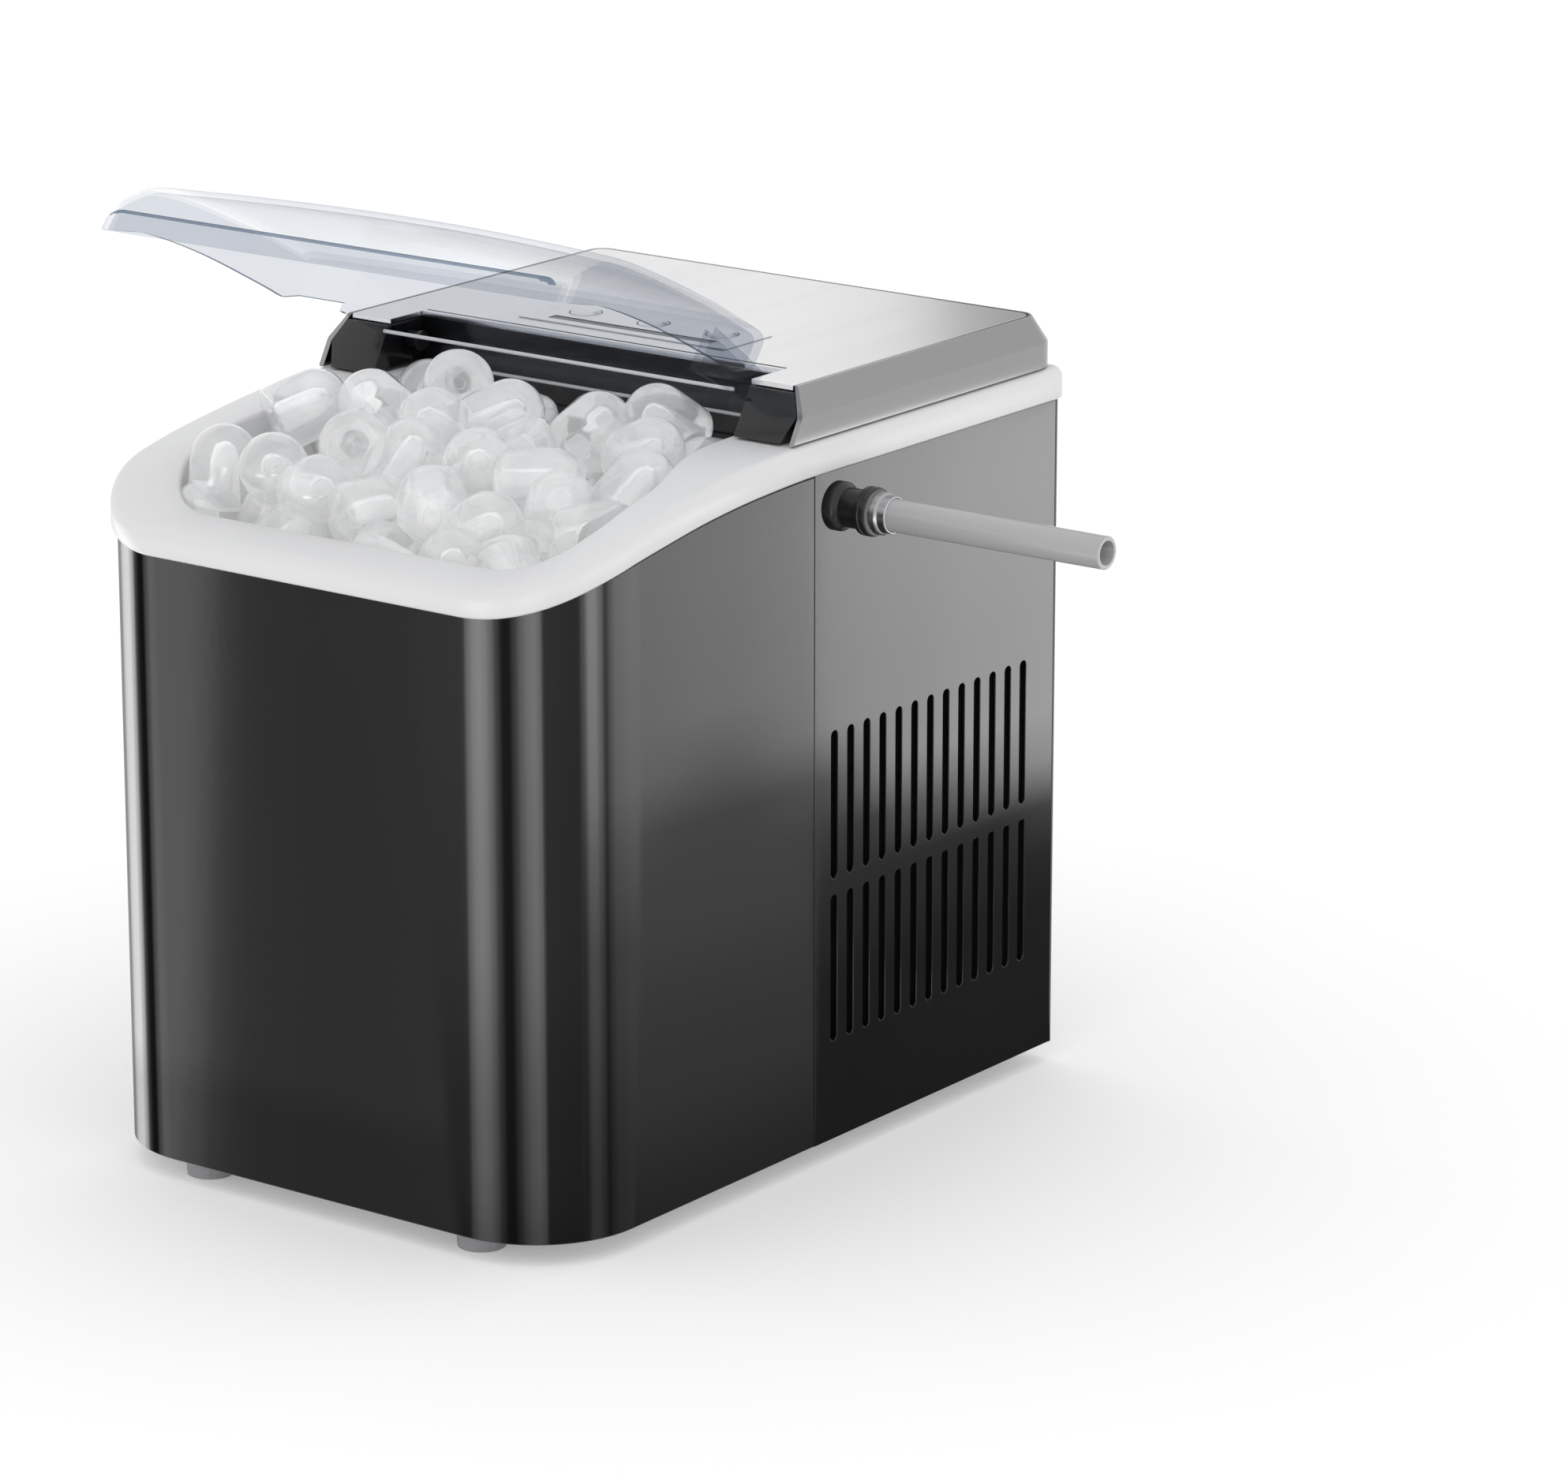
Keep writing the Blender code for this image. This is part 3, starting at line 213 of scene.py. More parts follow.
def clear_sheet(name, shades, rough):
    """Thin clear plastic: tinted more where it is seen edge on, with a glossy skin."""
    n = Nodes(name)
    tree = n.tree
    tree.nodes.remove(n.shader)
    view = tree.nodes.new("ShaderNodeLayerWeight")
    view.inputs["Blend"].default_value = 0.5
    ramp = tree.nodes.new("ShaderNodeValToRGB")
    while len(ramp.color_ramp.elements) < len(shades):
        ramp.color_ramp.elements.new(0.5)
    for element, (place, colour) in zip(ramp.color_ramp.elements, shades):
        element.position = place
        element.color = (*colour, 1.0)
    tree.links.new(view.outputs["Facing"], ramp.inputs["Fac"])
    clear = tree.nodes.new("ShaderNodeBsdfTransparent")
    tree.links.new(ramp.outputs["Color"], clear.inputs["Color"])
    gloss = tree.nodes.new("ShaderNodeBsdfGlossy")
    bump = tree.nodes.new("ShaderNodeBump")
    bump.inputs["Strength"].default_value = 0.02
    bump.inputs["Distance"].default_value = 0.0001
    tree.links.new(n.noise(30.0, 2.0), bump.inputs["Height"])
    tree.links.new(bump.outputs["Normal"], gloss.inputs["Normal"])
    tree.links.new(n.remap(n.noise(40.0, 4.0), rough, rough * 2.5), gloss.inputs["Roughness"])
    skin = n.remap(view.outputs["Facing"], 0.015, 0.30, 0.72, 1.0)
    mix = tree.nodes.new("ShaderNodeMixShader")
    tree.links.new(skin, mix.inputs["Fac"])
    tree.links.new(clear.outputs["BSDF"], mix.inputs[1])
    tree.links.new(gloss.outputs["BSDF"], mix.inputs[2])
    tree.links.new(mix.outputs["Shader"], tree.nodes["Material Output"].inputs["Surface"])
    return n.material


def clouded_ice_with_painted_glow():
    """Clouded ice under a wet skin, with a faint painted glow that stands in for light passing through the heap."""
    # The emission is painted light: a faint white glow for the light that passes through the heap.
    n = Nodes("clouded_ice_with_painted_glow").set(
        IOR=1.31, Transmission_Weight=0.75, Emission_Color=(1.0, 1.0, 1.0), Emission_Strength=0.08,
        Coat_Weight=0.9, Coat_IOR=1.6, Coat_Roughness=0.06)
    n.blend(n.remap(n.noise(70.0, 4.0), 0.0, 1.0), (0.80, 0.81, 0.82), (0.975, 0.975, 0.975))
    n.roughness(n.noise(90.0, 5.0), 0.02, 0.14)
    n.bump(n.noise(160.0, 4.0), 0.3, 0.0008)
    return n.material


# Mesh building

def outward(builder, name):
    """The finished mesh, its faces turned outward."""
    bmesh.ops.recalc_face_normals(builder, faces=builder.faces)
    mesh = bpy.data.meshes.new(name)
    builder.to_mesh(mesh)
    builder.free()
    return mesh


def loft(rings, close_path=False):
    """A surface through rings of points that correspond one to one, capped unless the path closes."""
    builder = bmesh.new()
    rows = [[builder.verts.new(point) for point in ring] for ring in rings]
    count = len(rows[0])
    pairs = list(zip(rows, rows[1:])) + ([(rows[-1], rows[0])] if close_path else [])
    for first, second in pairs:
        for i in range(count):
            j = (i + 1) % count
            builder.faces.new((first[i], first[j], second[j], second[i]))
    if not close_path:
        builder.faces.new(rows[0])
        builder.faces.new(reversed(rows[-1]))
    return outward(builder, "loft")


def arc(a, b, radius, start, end, steps):
    """Points on an arc about (a, b), its angles in degrees."""
    angles = [math.radians(start + (end - start) * i / steps) for i in range(steps + 1)]
    return [(a + radius * math.cos(t), b + radius * math.sin(t)) for t in angles]


def height_on(line, y):
    """The height of a rising side-view curve at y, on a smooth curve through its points."""
    if y <= line[0][0]:
        return line[0][1]
    if y >= line[-1][0]:
        return line[-1][1]
    slopes = [(b[1] - a[1]) / (b[0] - a[0]) for a, b in zip(line, line[1:])]
    tangents = [slopes[0]] + [2 * a * b / (a + b) for a, b in zip(slopes, slopes[1:])] + [slopes[-1]]
    for index, (left, right) in enumerate(zip(line, line[1:])):
        if y <= right[0]:
            break
    span = right[0] - left[0]
    t = (y - left[0]) / span
    keep = (1 + 2 * t) * (1 - t) ** 2 * left[1] + t * t * (3 - 2 * t) * right[1]
    return keep + t * (1 - t) ** 2 * tangents[index] * span + t * t * (t - 1) * tangents[index + 1] * span


def plate(outline, start, end, axis="Z", holes=(), bevel=0.0, segments=2):
    """A filled flat outline with holes, extruded along an axis, its sharp edges rounded by the bevel."""
    curve = bpy.data.curves.new("outline", "CURVE")
    curve.dimensions = "2D"
    curve.fill_mode = "BOTH"
    curve.extrude = abs(end - start) / 2
    for loop in (outline, *holes):
        spline = curve.splines.new("POLY")
        spline.points.add(len(loop) - 1)
        for point, (across, along) in zip(spline.points, loop):
            point.co = (across, along, 0.0, 1.0)
        spline.use_cyclic_u = True
    obj = bpy.data.objects.new("outline", curve)
    bpy.context.scene.collection.objects.link(obj)
    mesh = bpy.data.meshes.new_from_object(obj.evaluated_get(bpy.context.evaluated_depsgraph_get()))
    bpy.data.objects.remove(obj, do_unlink=True)
    builder = bmesh.new()
    builder.from_mesh(mesh)
    bmesh.ops.remove_doubles(builder, verts=builder.verts, dist=0.00002)
    middle = (start + end) / 2
    offset = {"X": (middle, 0, 0), "Y": (0, middle, 0), "Z": (0, 0, middle)}[axis]
    if bevel:
        bmesh.ops.recalc_face_normals(builder, faces=builder.faces)
        sharp = [e for e in builder.edges if len(e.link_faces) == 2 and e.calc_face_angle(0.0) > 1.0]
        bmesh.ops.bevel(builder, geom=sharp, offset=bevel, segments=segments, affect="EDGES", profile=0.5,
                        clamp_overlap=True)
    bmesh.ops.transform(builder, matrix=Matrix.Translation(offset) @ AXIS_TURNS[axis], verts=builder.verts)
    return outward(builder, "plate")


def turned(profile, centre, axis="X", sides=64):
    """A turned piece from a closed profile of (radius, height) pairs."""
    rings = []
    for step in range(sides):
        angle = math.tau * step / sides
        rings.append([(r * math.cos(angle), r * math.sin(angle), h) for r, h in profile])
    builder = bmesh.new()
    rows = [[builder.verts.new(point) for point in ring] for ring in rings]
    count = len(profile)
    for first, second in zip(rows, rows[1:] + rows[:1]):
        for i in range(count):
            j = (i + 1) % count
            if profile[i][0] > 0.0 or profile[j][0] > 0.0:
                builder.faces.new((first[i], first[j], second[j], second[i]))
    bmesh.ops.remove_doubles(builder, verts=builder.verts, dist=0.000005)
    matrix = Matrix.Translation(centre) @ AXIS_TURNS[axis]
    bmesh.ops.transform(builder, matrix=matrix, verts=builder.verts)
    return outward(builder, "turned")


def piece(name, mesh, material, body, slot, *nodes, angle=38):
    """Adds one visible piece, given about the cabinet's centre line, and hides the CAD nodes that it stands for."""
    mesh.transform(Matrix.Translation((CENTRE_X, 0.0, 0.0)))
    obj = bpy.data.objects.new(name, mesh)
    bpy.context.scene.collection.objects.link(obj)
    mesh.materials.clear()
    mesh.materials.append(material)
    mesh.shade_smooth()
    mesh.set_sharp_from_angle(angle=math.radians(angle))
    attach(obj, body)
    if nodes:
        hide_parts(*nodes)
    return obj


def repaint(material, *nodes):
    """Gives carried-over CAD nodes a finish."""
    for node in nodes:
        mesh = frame["nodes"][node].data
        mesh.materials.clear()
        mesh.materials.append(material)


# Finishes

COVER_FINISH = gloss_black("cover_gloss", colour=(0.003, 0.003, 0.0033))
SIDE_FINISH = gloss_black("side_gloss", colour=(0.004, 0.004, 0.0043))
CAP_FINISH = gloss_black("hood_cap_gloss", rough=0.12)
RIM_FINISH = moulded("rim_satin_white", (0.72, 0.72, 0.725), 0.40, grain=500.0, depth=0.02, shade=0.985)
# Painted shade: the inner tank is the rim's white plastic darkened to grey for the shade inside the basin; the same
# grey also paints the highlight lines on the fascia and lid.
GREY_FOR_SHADE_AND_HIGHLIGHTS = moulded("tank_grey_painted_shade", (0.60, 0.60, 0.605), 0.4, shade=0.97)
BASKET_FINISH = moulded("basket_soft_white", (0.84, 0.84, 0.84), 0.45, shade=0.97)
# Painted shade: the band is the top sheet's brushed metal in a much darker tone, for the hood's upright sides.
HOOD_SIDE_PAINTED_SHADE = brushed("hood_band_brushed_painted_shade", (0.31, 0.31, 0.315), 0.15, (3, 0.4, 14), streak=0.97)
HOOD_TOP_FINISH = brushed("hood_top_brushed", (0.76, 0.76, 0.765), 0.24, (14, 0.4, 14), streak=0.975)
LID_FINISH = clear_sheet("lid_clear_plastic", (
    (0.0, (0.975, 0.98, 0.985)), (0.85, (0.965, 0.972, 0.98)), (0.95, (0.86, 0.88, 0.91)),
    (1.0, (0.55, 0.60, 0.67))), 0.02)
LID_WALL_FINISH = clear_sheet("lid_wall_plastic", (
    (0.0, (0.86, 0.872, 0.892)), (0.85, (0.845, 0.86, 0.885)), (1.0, (0.46, 0.51, 0.58))), 0.02)
# Painted shade: a dark tint on the lid's crease and lips, for the dark lines that refraction gives these edges.
LID_EDGE_PAINTED_SHADE = clear_sheet("lid_edge_painted_shade_tint", (
    (0.0, (0.36, 0.42, 0.50)), (0.6, (0.25, 0.30, 0.37)), (1.0, (0.12, 0.15, 0.20))), 0.05)
ICE_FINISH = clouded_ice_with_painted_glow()
FITTING_FINISH = moulded("fitting_black", (0.012, 0.012, 0.013), 0.28, grain=700.0)
PIPE_FINISH = moulded("pipe_grey", (0.42, 0.42, 0.425), 0.16, grain=300.0, depth=0.02)
COLLAR_FINISH = polished_metal("collar_nickel", (0.40, 0.40, 0.41), 0.22)
PLATED_FINISH = polished_metal("evaporator_plating", (0.72, 0.72, 0.73), 0.15)
FOOT_FINISH = moulded("foot_grey_rubber", (0.30, 0.30, 0.31), 0.6)
BACK_FINISH = moulded("back_textured_black", (0.022, 0.022, 0.023), 0.45, grain=1400.0, depth=0.3)
METAL_FINISH = brushed("plain_bright_metal", (0.58, 0.59, 0.60), 0.35, (3, 3, 3))
# Painted shade: near-black pleated sheets behind the slots stand for the cabinet's dark inside.
SLOT_SHADE_FINISH = moulded("slot_painted_shade_sheet", (0.006, 0.006, 0.0062), 0.9, grain=1200.0, depth=0.3)
PAINT_FINISH = moulded("compressor_enamel", (0.015, 0.015, 0.016), 0.3, grain=300.0)
COPPER_FINISH = polished_metal("bare_copper", (0.72, 0.34, 0.2), 0.25)
FOAM_FINISH = moulded("pale_foam", (0.74, 0.68, 0.5), 0.9, grain=350.0, depth=0.6)
BOARD_FINISH = moulded("circuit_green", (0.02, 0.13, 0.05), 0.4)
# Painted shade: the hoses are made near black so that what shows through the side slots stays dark.
HOSE_PAINTED_SHADE = moulded("dark_hose_painted_shade", (0.06, 0.06, 0.06), 0.4)


# Cabinet

def cover_ring(inset, edge_y, steps=28):
    """Plan of the front cover's sheet at an inset, from the left seam round the front to the right seam."""
    x, y, r = HALF_WIDTH - CORNER, FRONT_Y + CORNER, CORNER - inset
    side = HALF_WIDTH - inset
    straight = [(-side, edge_y - (edge_y - y) * i / 12) for i in range(12)]
    return (straight + arc(-x, y, r, 180, 270, steps) + arc(x, y, r, 270, 360, steps)
            + [(-px, py) for px, py in reversed(straight)])


def make_cover():
    edge = SEAM_Y - SEAM / 2
    round_over = 0.0004
    outer = cover_ring(0.0, edge)
    inner = cover_ring(SHEET, edge)
    soft = cover_ring(round_over, edge)
    rings = []
    for (ox, oy), (sx, sy), (ix, iy) in zip(outer, soft, inner):
        top = height_on(RIM_UNDERSIDE, oy) - 0.0006
        low = FLOOR_EDGE
        rings.append([(sx, sy, low), (ox, oy, low + round_over), (ox, oy, top - round_over), (sx, sy, top),
                      (ix, iy, top), (ix, iy, low)])
    piece("front_cover_skin", loft(rings), COVER_FINISH, "cabinet", "cover_gloss_black", "front_cover")


def vent_slots():
    """The cooling slots of a side panel, each with round ends."""
    r = VENT_WIDTH / 2
    return [arc(y, high - r, r, 0, 180, 8) + arc(y, low + r, r, 180, 360, 8)
            for y in VENT_COLUMNS for low, high in VENT_ROWS]


def make_side_panel(side, name, node, drain):
    """The slotted flat of a side panel and the narrow return round the back corner."""
    edge = SEAM_Y + SEAM / 2
    turn = HALF_DEPTH - REAR_CORNER
    top = max(COVER_HIGH[2], SIDE_TOP)
    low = FLOOR_EDGE
    face = side * HALF_WIDTH
    back = side * (HALF_WIDTH - SHEET)
    outline = [(edge, low), (turn, low), (turn, SIDE_TOP), (edge, SIDE_TOP)]
    holes = vent_slots()
    if drain:
        holes.append(arc(OUTLET_Y, OUTLET_Z, 0.0062, 0, 352.5, 47))
    flat = plate(outline, min(face, back), max(face, back), "X", holes, bevel=0.0003)
    piece(name, flat, SIDE_FINISH, "cabinet", "cover_gloss_black", node, angle=20)
    r = REAR_CORNER
    outer = arc(HALF_WIDTH - r, HALF_DEPTH - r, r, 0, 90, 8) + [(0.097, HALF_DEPTH)]
    inner = arc(HALF_WIDTH - r, HALF_DEPTH - r, r - SHEET, 0, 90, 8) + [(0.097, HALF_DEPTH - SHEET)]
    rings = [[(side * ox, oy, low), (side * ox, oy, top), (side * ix, iy, top), (side * ix, iy, low)]
             for (ox, oy), (ix, iy) in zip(outer, inner)]
    piece(name + "_return", loft(rings), SIDE_FINISH, "cabinet", "cover_gloss_black")


def pleats(start, end, inside):
    """Outline of a pleated sheet that runs along the second coordinate, close to the inside of a panel."""
    near, far, thick, pleat = inside - 0.0045, inside - 0.0022, 0.0012, 0.005
    count = 2 * round((end - start) / pleat)
    line = [(far if i % 2 else near, start + (end - start) * i / count) for i in range(count + 1)]
    return line + [(depth + thick, along) for depth, along in reversed(line)]


def make_slot_shade_sheets():
    """Near-black pleated sheets behind the side slots and the back grille: painted shade that keeps the slots dark.
    """
    for side, name in ((-1, "left_slot_shade_sheet"), (1, "right_slot_shade_sheet")):
        folds = [(side * x, y) for x, y in pleats(0.003, 0.136, HALF_WIDTH - SHEET)]
        piece(name, plate(folds, 0.041, 0.170), SLOT_SHADE_FINISH, "cabinet", "back_panel_black", angle=20)
    folds = [(x, y) for y, x in pleats(-0.055, 0.055, HALF_DEPTH - SHEET)]
    piece("grille_shade_sheet", plate(folds, 0.113, 0.204), SLOT_SHADE_FINISH, "cabinet", "back_panel_black", angle=20)


# Rim

def opening_half(y):
    """Half the width of the basin's opening at y: it narrows under the hood."""
    t = min(max((y + 0.085) / 0.057, 0.0), 1.0)
    return 0.094 - 0.014 * t * t * (3 - 2 * t)


def rim_stations():
    """Right half of the rim, front to back: outside point, outward normal, inside point."""
    front, r = -(RIM_HALF - HALF_WIDTH + HALF_DEPTH), CORNER
    stations = []
    for i in range(10):
        t = i / 10
        stations.append(((t * (RIM_HALF - r), front), (0.0, -1.0), (t * BASIN_FRONT_HALF, BASIN_FRONT)))
    for step in range(33):
        a = math.radians(-90 + 90 * step / 32)
        c, s = math.cos(a), math.sin(a)
        stations.append(((RIM_HALF - r + r * c, front + r + r * s), (c, s),
                         (BASIN_FRONT_HALF + BASIN_CORNER * c, BASIN_FRONT + BASIN_CORNER + BASIN_CORNER * s)))
    start_out, start_in, end = front + r, BASIN_FRONT + BASIN_CORNER, 0.094
    for step in range(1, 41):
        t = step / 40
        y_out = start_out + (end - start_out) * t
        y_in = start_in + (end - start_in) * t
        stations.append(((RIM_HALF, y_out), (1.0, 0.0), (opening_half(y_in), y_in)))
    corner = 0.0056
    for step in range(1, 9):
        a = math.radians(90 * step / 8)
        c, s = math.cos(a), math.sin(a)
        stations.append(((RIM_HALF - corner + corner * c, -front - corner + corner * s), (c, s),
                         (0.074 + 0.006 * c, end + 0.006 * s)))
    for i in range(1, 8):
        t = 1 - i / 7
        stations.append((((RIM_HALF - corner) * t, -front), (0.0, 1.0), (0.074 * t, 0.100)))
    return stations


def rim_section(outside, normal, inside):
    """The rim's cross-section at a station: a shell over the panels' edges and down into the basin."""
    def on_outside(inset, z):
        return (outside[0] - inset * normal[0], outside[1] - inset * normal[1], z)

    def on_inside(outset, z):
        return (inside[0] + outset * normal[0], inside[1] + outset * normal[1], z)

    low = height_on(RIM_UNDERSIDE, outside[1])
    crest = height_on(RIM_CREST, outside[1])
    share = min(max((outside[1] + 0.113) / 0.028, 0.0), 1.0)
    inner = (1 - share) * (crest + 0.0012) + share * height_on(RIM_CREST, inside[1])
    points = [on_outside(0.0007, low), on_outside(0.0, low + 0.0008)]
    for step in range(7):
        a = math.radians(90 * step / 6)
        points.append(on_outside(0.0036 * (1 - math.cos(a)), crest - 0.0040 * (1 - math.sin(a))))
    for step in range(5):
        a = math.radians(90 * step / 4)
        points.append(on_inside(0.0018 * (1 - math.sin(a)), inner - 0.0018 * (1 - math.cos(a))))
    points += [on_inside(0.0, 0.226), on_inside(0.002, 0.226), on_inside(0.002, min(inner, crest) - 0.0032),
               on_outside(0.0042, crest - 0.0042), on_outside(0.0042, low)]
    return points


def make_rim():
    right = [rim_section(*station) for station in rim_stations()]
    left = [[(-x, y, z) for x, y, z in ring] for ring in right[-2:0:-1]]
    piece("top_rim_moulding", loft(right + left, close_path=True), RIM_FINISH, "cabinet", "rim_white", "top_rim",
          angle=60)


# Hood

HOOD_LOW = RIM_CREST[-1][1] + 0.0003


def hood_front(z):
    """Where the hood's sloping front edge stands at a height."""
    return -0.015 + 0.011 * (z - HOOD_LOW) / (HOOD_TOP - HOOD_LOW)


def make_hood():
    """The band round the hood, straight and then sloping in, and the top sheet with its recess."""
    half = HALF_WIDTH - 0.0005
    profile = [(0.0006, HOOD_LOW), (0.0, HOOD_LOW + 0.0006), (0.0, 0.2836), (0.0002, 0.2844),
               (0.0058, HOOD_TOP - 0.0004), (0.0064, HOOD_TOP), (0.0076, HOOD_TOP), (0.0021, 0.2834),
               (0.0021, HOOD_LOW)]
    r = REAR_CORNER + 0.009
    rings = [[(half - inset, hood_front(z) + (0.010 + HALF_DEPTH) * i / 10 * 0.9, z) for inset, z in profile]
             for i in range(10)]
    for step in range(17):
        a = math.radians(90 * step / 16)
        c, s = math.cos(a), math.sin(a)
        rings.append([(half - r + (r - inset) * c, HALF_DEPTH - r + (r - inset) * s, z) for inset, z in profile])
    rings += [[(-x, y, z) for x, y, z in ring] for ring in reversed(rings)]
    piece("hood_band", loft(rings), HOOD_SIDE_PAINTED_SHADE, "cabinet", "hood_silver", "hood_shell", angle=20)
    panel_half, back, front = 0.1024, HALF_DEPTH - 0.0081, hood_front(HOOD_TOP) - 0.0004
    recess, recess_y = TONGUE_HALF + 0.0018, 0.0142
    outline = ([(-panel_half, front), (-recess, front), (-recess, recess_y), (recess, recess_y), (recess, front),
                (panel_half, front)] + arc(panel_half - 0.005, back - 0.005, 0.005, 0, 90, 8)
               + arc(-panel_half + 0.005, back - 0.005, 0.005, 90, 180, 8))
    low_corner, high_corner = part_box("control_bezel")
    gap = 0.0003
    x0, x1 = low_corner[0] - CENTRE_X - gap, high_corner[0] - CENTRE_X + gap
    y0, y1 = low_corner[1] - gap, high_corner[1] + gap
    window = [(x0, y0), (x1, y0), (x1, y1), (x0, y1)]
    top = plate(outline, PANEL_LOW[2], HOOD_TOP, "Z", [window], bevel=0.0004)
    piece("hood_top_sheet", top, HOOD_TOP_FINISH, "cabinet", "hood_silver", "hood_top_panel", angle=20)


def make_caps():
    """The black end caps, their front faces leaning with the hood's front edge."""
    top = PANEL_LOW[2] - 0.0004
    outline = [(0.084, 0.2744), (0.1045, 0.2744), (0.1080, 0.2834), (0.1036, top), (0.084, top)]
    for side, name in ((-1, "left"), (1, "right")):
        mesh = plate([(side * x, z) for x, z in outline], -0.020, 0.020, "Y", bevel=0.0005, segments=3)
        for vertex in mesh.vertices:
            if vertex.co.y < 0:
                vertex.co.y += 0.020 + hood_front(vertex.co.z) - 0.0006
        piece("hood_cap_" + name + "_moulding", mesh, CAP_FINISH, "cabinet", "hood_gloss_black", "hood_cap_" + name,
              angle=20)


def make_hood_lines():
    """The bright cut edge of the top sheet over the recess, a black strip of painted shade for the narrow gap behind
    it, and a light grey bead low on the fascia as a painted highlight of its edge.
    """
    half = TONGUE_HALF + 0.0014
    edge = plate([(0.0137, 0.2916), (0.0141, 0.2916), (0.0141, 0.2934), (0.0137, 0.2934)], -half, half, "X",
                 bevel=0.0001)
    piece("recess_edge", edge, HOOD_TOP_FINISH, "cabinet", "hood_silver")
    # A black strip laid on the top sheet: painted shade for the narrow gap along the recess.
    joint = plate([(0.0164, HOOD_TOP - 0.0002), (0.0174, HOOD_TOP - 0.0002), (0.0174, HOOD_TOP + 0.0001),
                   (0.0164, HOOD_TOP + 0.0001)], -half, half, "X", bevel=0.00005)
    piece("recess_shade_line", joint, CAP_FINISH, "cabinet", "hood_gloss_black")
    # A light grey line on the fascia's face: a painted highlight for the fascia's lower edge.
    bead = plate(arc(0.0149, 0.2740, 0.0007, 0, 330, 11), -0.0795, 0.0795, "X")
    piece("fascia_highlight_bead", bead, GREY_FOR_SHADE_AND_HIGHLIGHTS, "cabinet", "hood_silver", angle=60)


# Lid, built closed and turned to its rest angle about the hinge

def lid_half(y, inset):
    """Half the lid's width at y, round the front corners."""
    radius, centre = LID_CORNER - inset, LID_FRONT + LID_CORNER
    if y >= centre:
        return LID_HALF - inset
    return LID_HALF - LID_CORNER + math.sqrt(max(radius ** 2 - (centre - y) ** 2, 0.0))


def lid_crown(x, y):
    """How far the roof stands above its own edge: crowned across the width, less so towards both ends."""
    share = min(max((y - LID_ROOF[2][0]) / (LID_BACK - LID_ROOF[2][0]), 0.0), 1.0)
    return LID_CROWN * math.sin(math.pi * share) * (1 - (x / LID_HALF) ** 2)


def lid_floor(y):
    """The closed lid's lower edge: just over the rim, rising towards the hinge."""
    over_rim = height_on(RIM_CREST, min(y, -0.046)) + 0.0009
    return over_rim + max(y + 0.046, 0.0) * 0.55


def dome(inset, drop):
    """The lid's crowned cover, or the hollow inside it when inset and dropped."""
    front, back = LID_FRONT + inset, LID_BACK - inset
    stations = [front + LID_CORNER * (1 - math.cos(math.radians(90 * i / 16))) for i in range(17)]
    crease = (0.00052, 0.00062)
    stations = sorted(stations + [front + offset for offset in crease])
    stations += [stations[-1] + (back - stations[-1]) * i / 34 for i in range(1, 35)]
    rings = []
    for y in stations:
        half = lid_half(y, inset)
        edge = height_on(LID_ROOF, y) - inset
        radius = max(min(LID_EDGE_RADIUS - inset / 2, (edge - lid_floor(y)) * 0.7), 0.0003)
        right = arc(half - radius, edge - radius, radius, 0, 90, 8)
        right += [((half - radius) * (1 - i / 12), edge) for i in range(1, 12)]
        lifted = [(x, y, z + lid_crown(x, y) * min(max((z - edge + radius) / radius, 0.0), 1.0)) for x, z in right]
        low = lid_floor(y) - drop
        rings.append([(half, y, low), *lifted, (0.0, y, edge + lid_crown(0.0, y)),
                      *[(-x, y, z) for x, y, z in reversed(lifted)], (-half, y, low)])
    return loft(rings)


def tongue(inset, drop):
    """The lid's narrower part over the hinge line, or the hollow inside it."""
    y, z = LID_AXIS[1], LID_AXIS[2]
    end = 0.0062 - inset
    roof = [(-0.044, 0.2922 - inset), (-0.031, 0.2920 - inset), (-0.008, 0.2914 - inset)]
    if drop:
        rest = arc(y, z, end, 75, 0, 6) + [(y + end, z - drop), (-0.044, z - drop)]
    else:
        rest = arc(y, z, end, 90, -90, 16) + [(-0.009, 0.2780), (-0.036, 0.2740), (-0.044, 0.2735)]
    half = TONGUE_HALF - inset
    return plate(list(reversed(roof + rest)), -half, half, "X")


def combined(base, others, operation):
    """One mesh from Boolean steps on the base mesh."""
    obj = bpy.data.objects.new("combine", base)
    bpy.context.scene.collection.objects.link(obj)
    helpers = []
    for mesh in others:
        helper = bpy.data.objects.new("helper", mesh)
        bpy.context.scene.collection.objects.link(helper)
        helpers.append(helper)
        modifier = obj.modifiers.new("step", "BOOLEAN")
        modifier.operation = operation
        modifier.solver = "EXACT"
        modifier.object = helper
    result = bpy.data.meshes.new_from_object(obj.evaluated_get(bpy.context.evaluated_depsgraph_get()))
    for used in [obj, *helpers]:
        bpy.data.objects.remove(used, do_unlink=True)
    return result


def is_lid_edge(polygon):
    """Whether a face of the closed lid gets the painted dark line that stands in for the edge's refraction: the
    crease over the front wall, or a side's lip.
    """
    x, y, z = polygon.center
    crease = y < LID_ROOF[2][0] + 0.0002 and LID_ROOF[1][1] - 0.0018 < z < LID_ROOF[2][1] + 0.0004
    outside = polygon.normal.z > 0.05 or polygon.normal.y < -0.5
    lip = polygon.normal.z < -0.5 and z < lid_floor(y) + 0.0005 and LID_FRONT + LID_CORNER < y < LID_BACK
    return (crease and outside) or lip


def is_lid_wall(polygon):
    """Whether a face of the closed lid belongs to its walls or to the part over the hinge."""
    y = polygon.center.y
    side = abs(polygon.normal.x) > 0.7 and LID_FRONT + LID_CORNER < y < LID_BACK - 0.001
    front = y < LID_ROOF[2][0] + 0.003 and polygon.center.z < LID_ROOF[1][1]
    return side or front or y > LID_BACK - 0.009


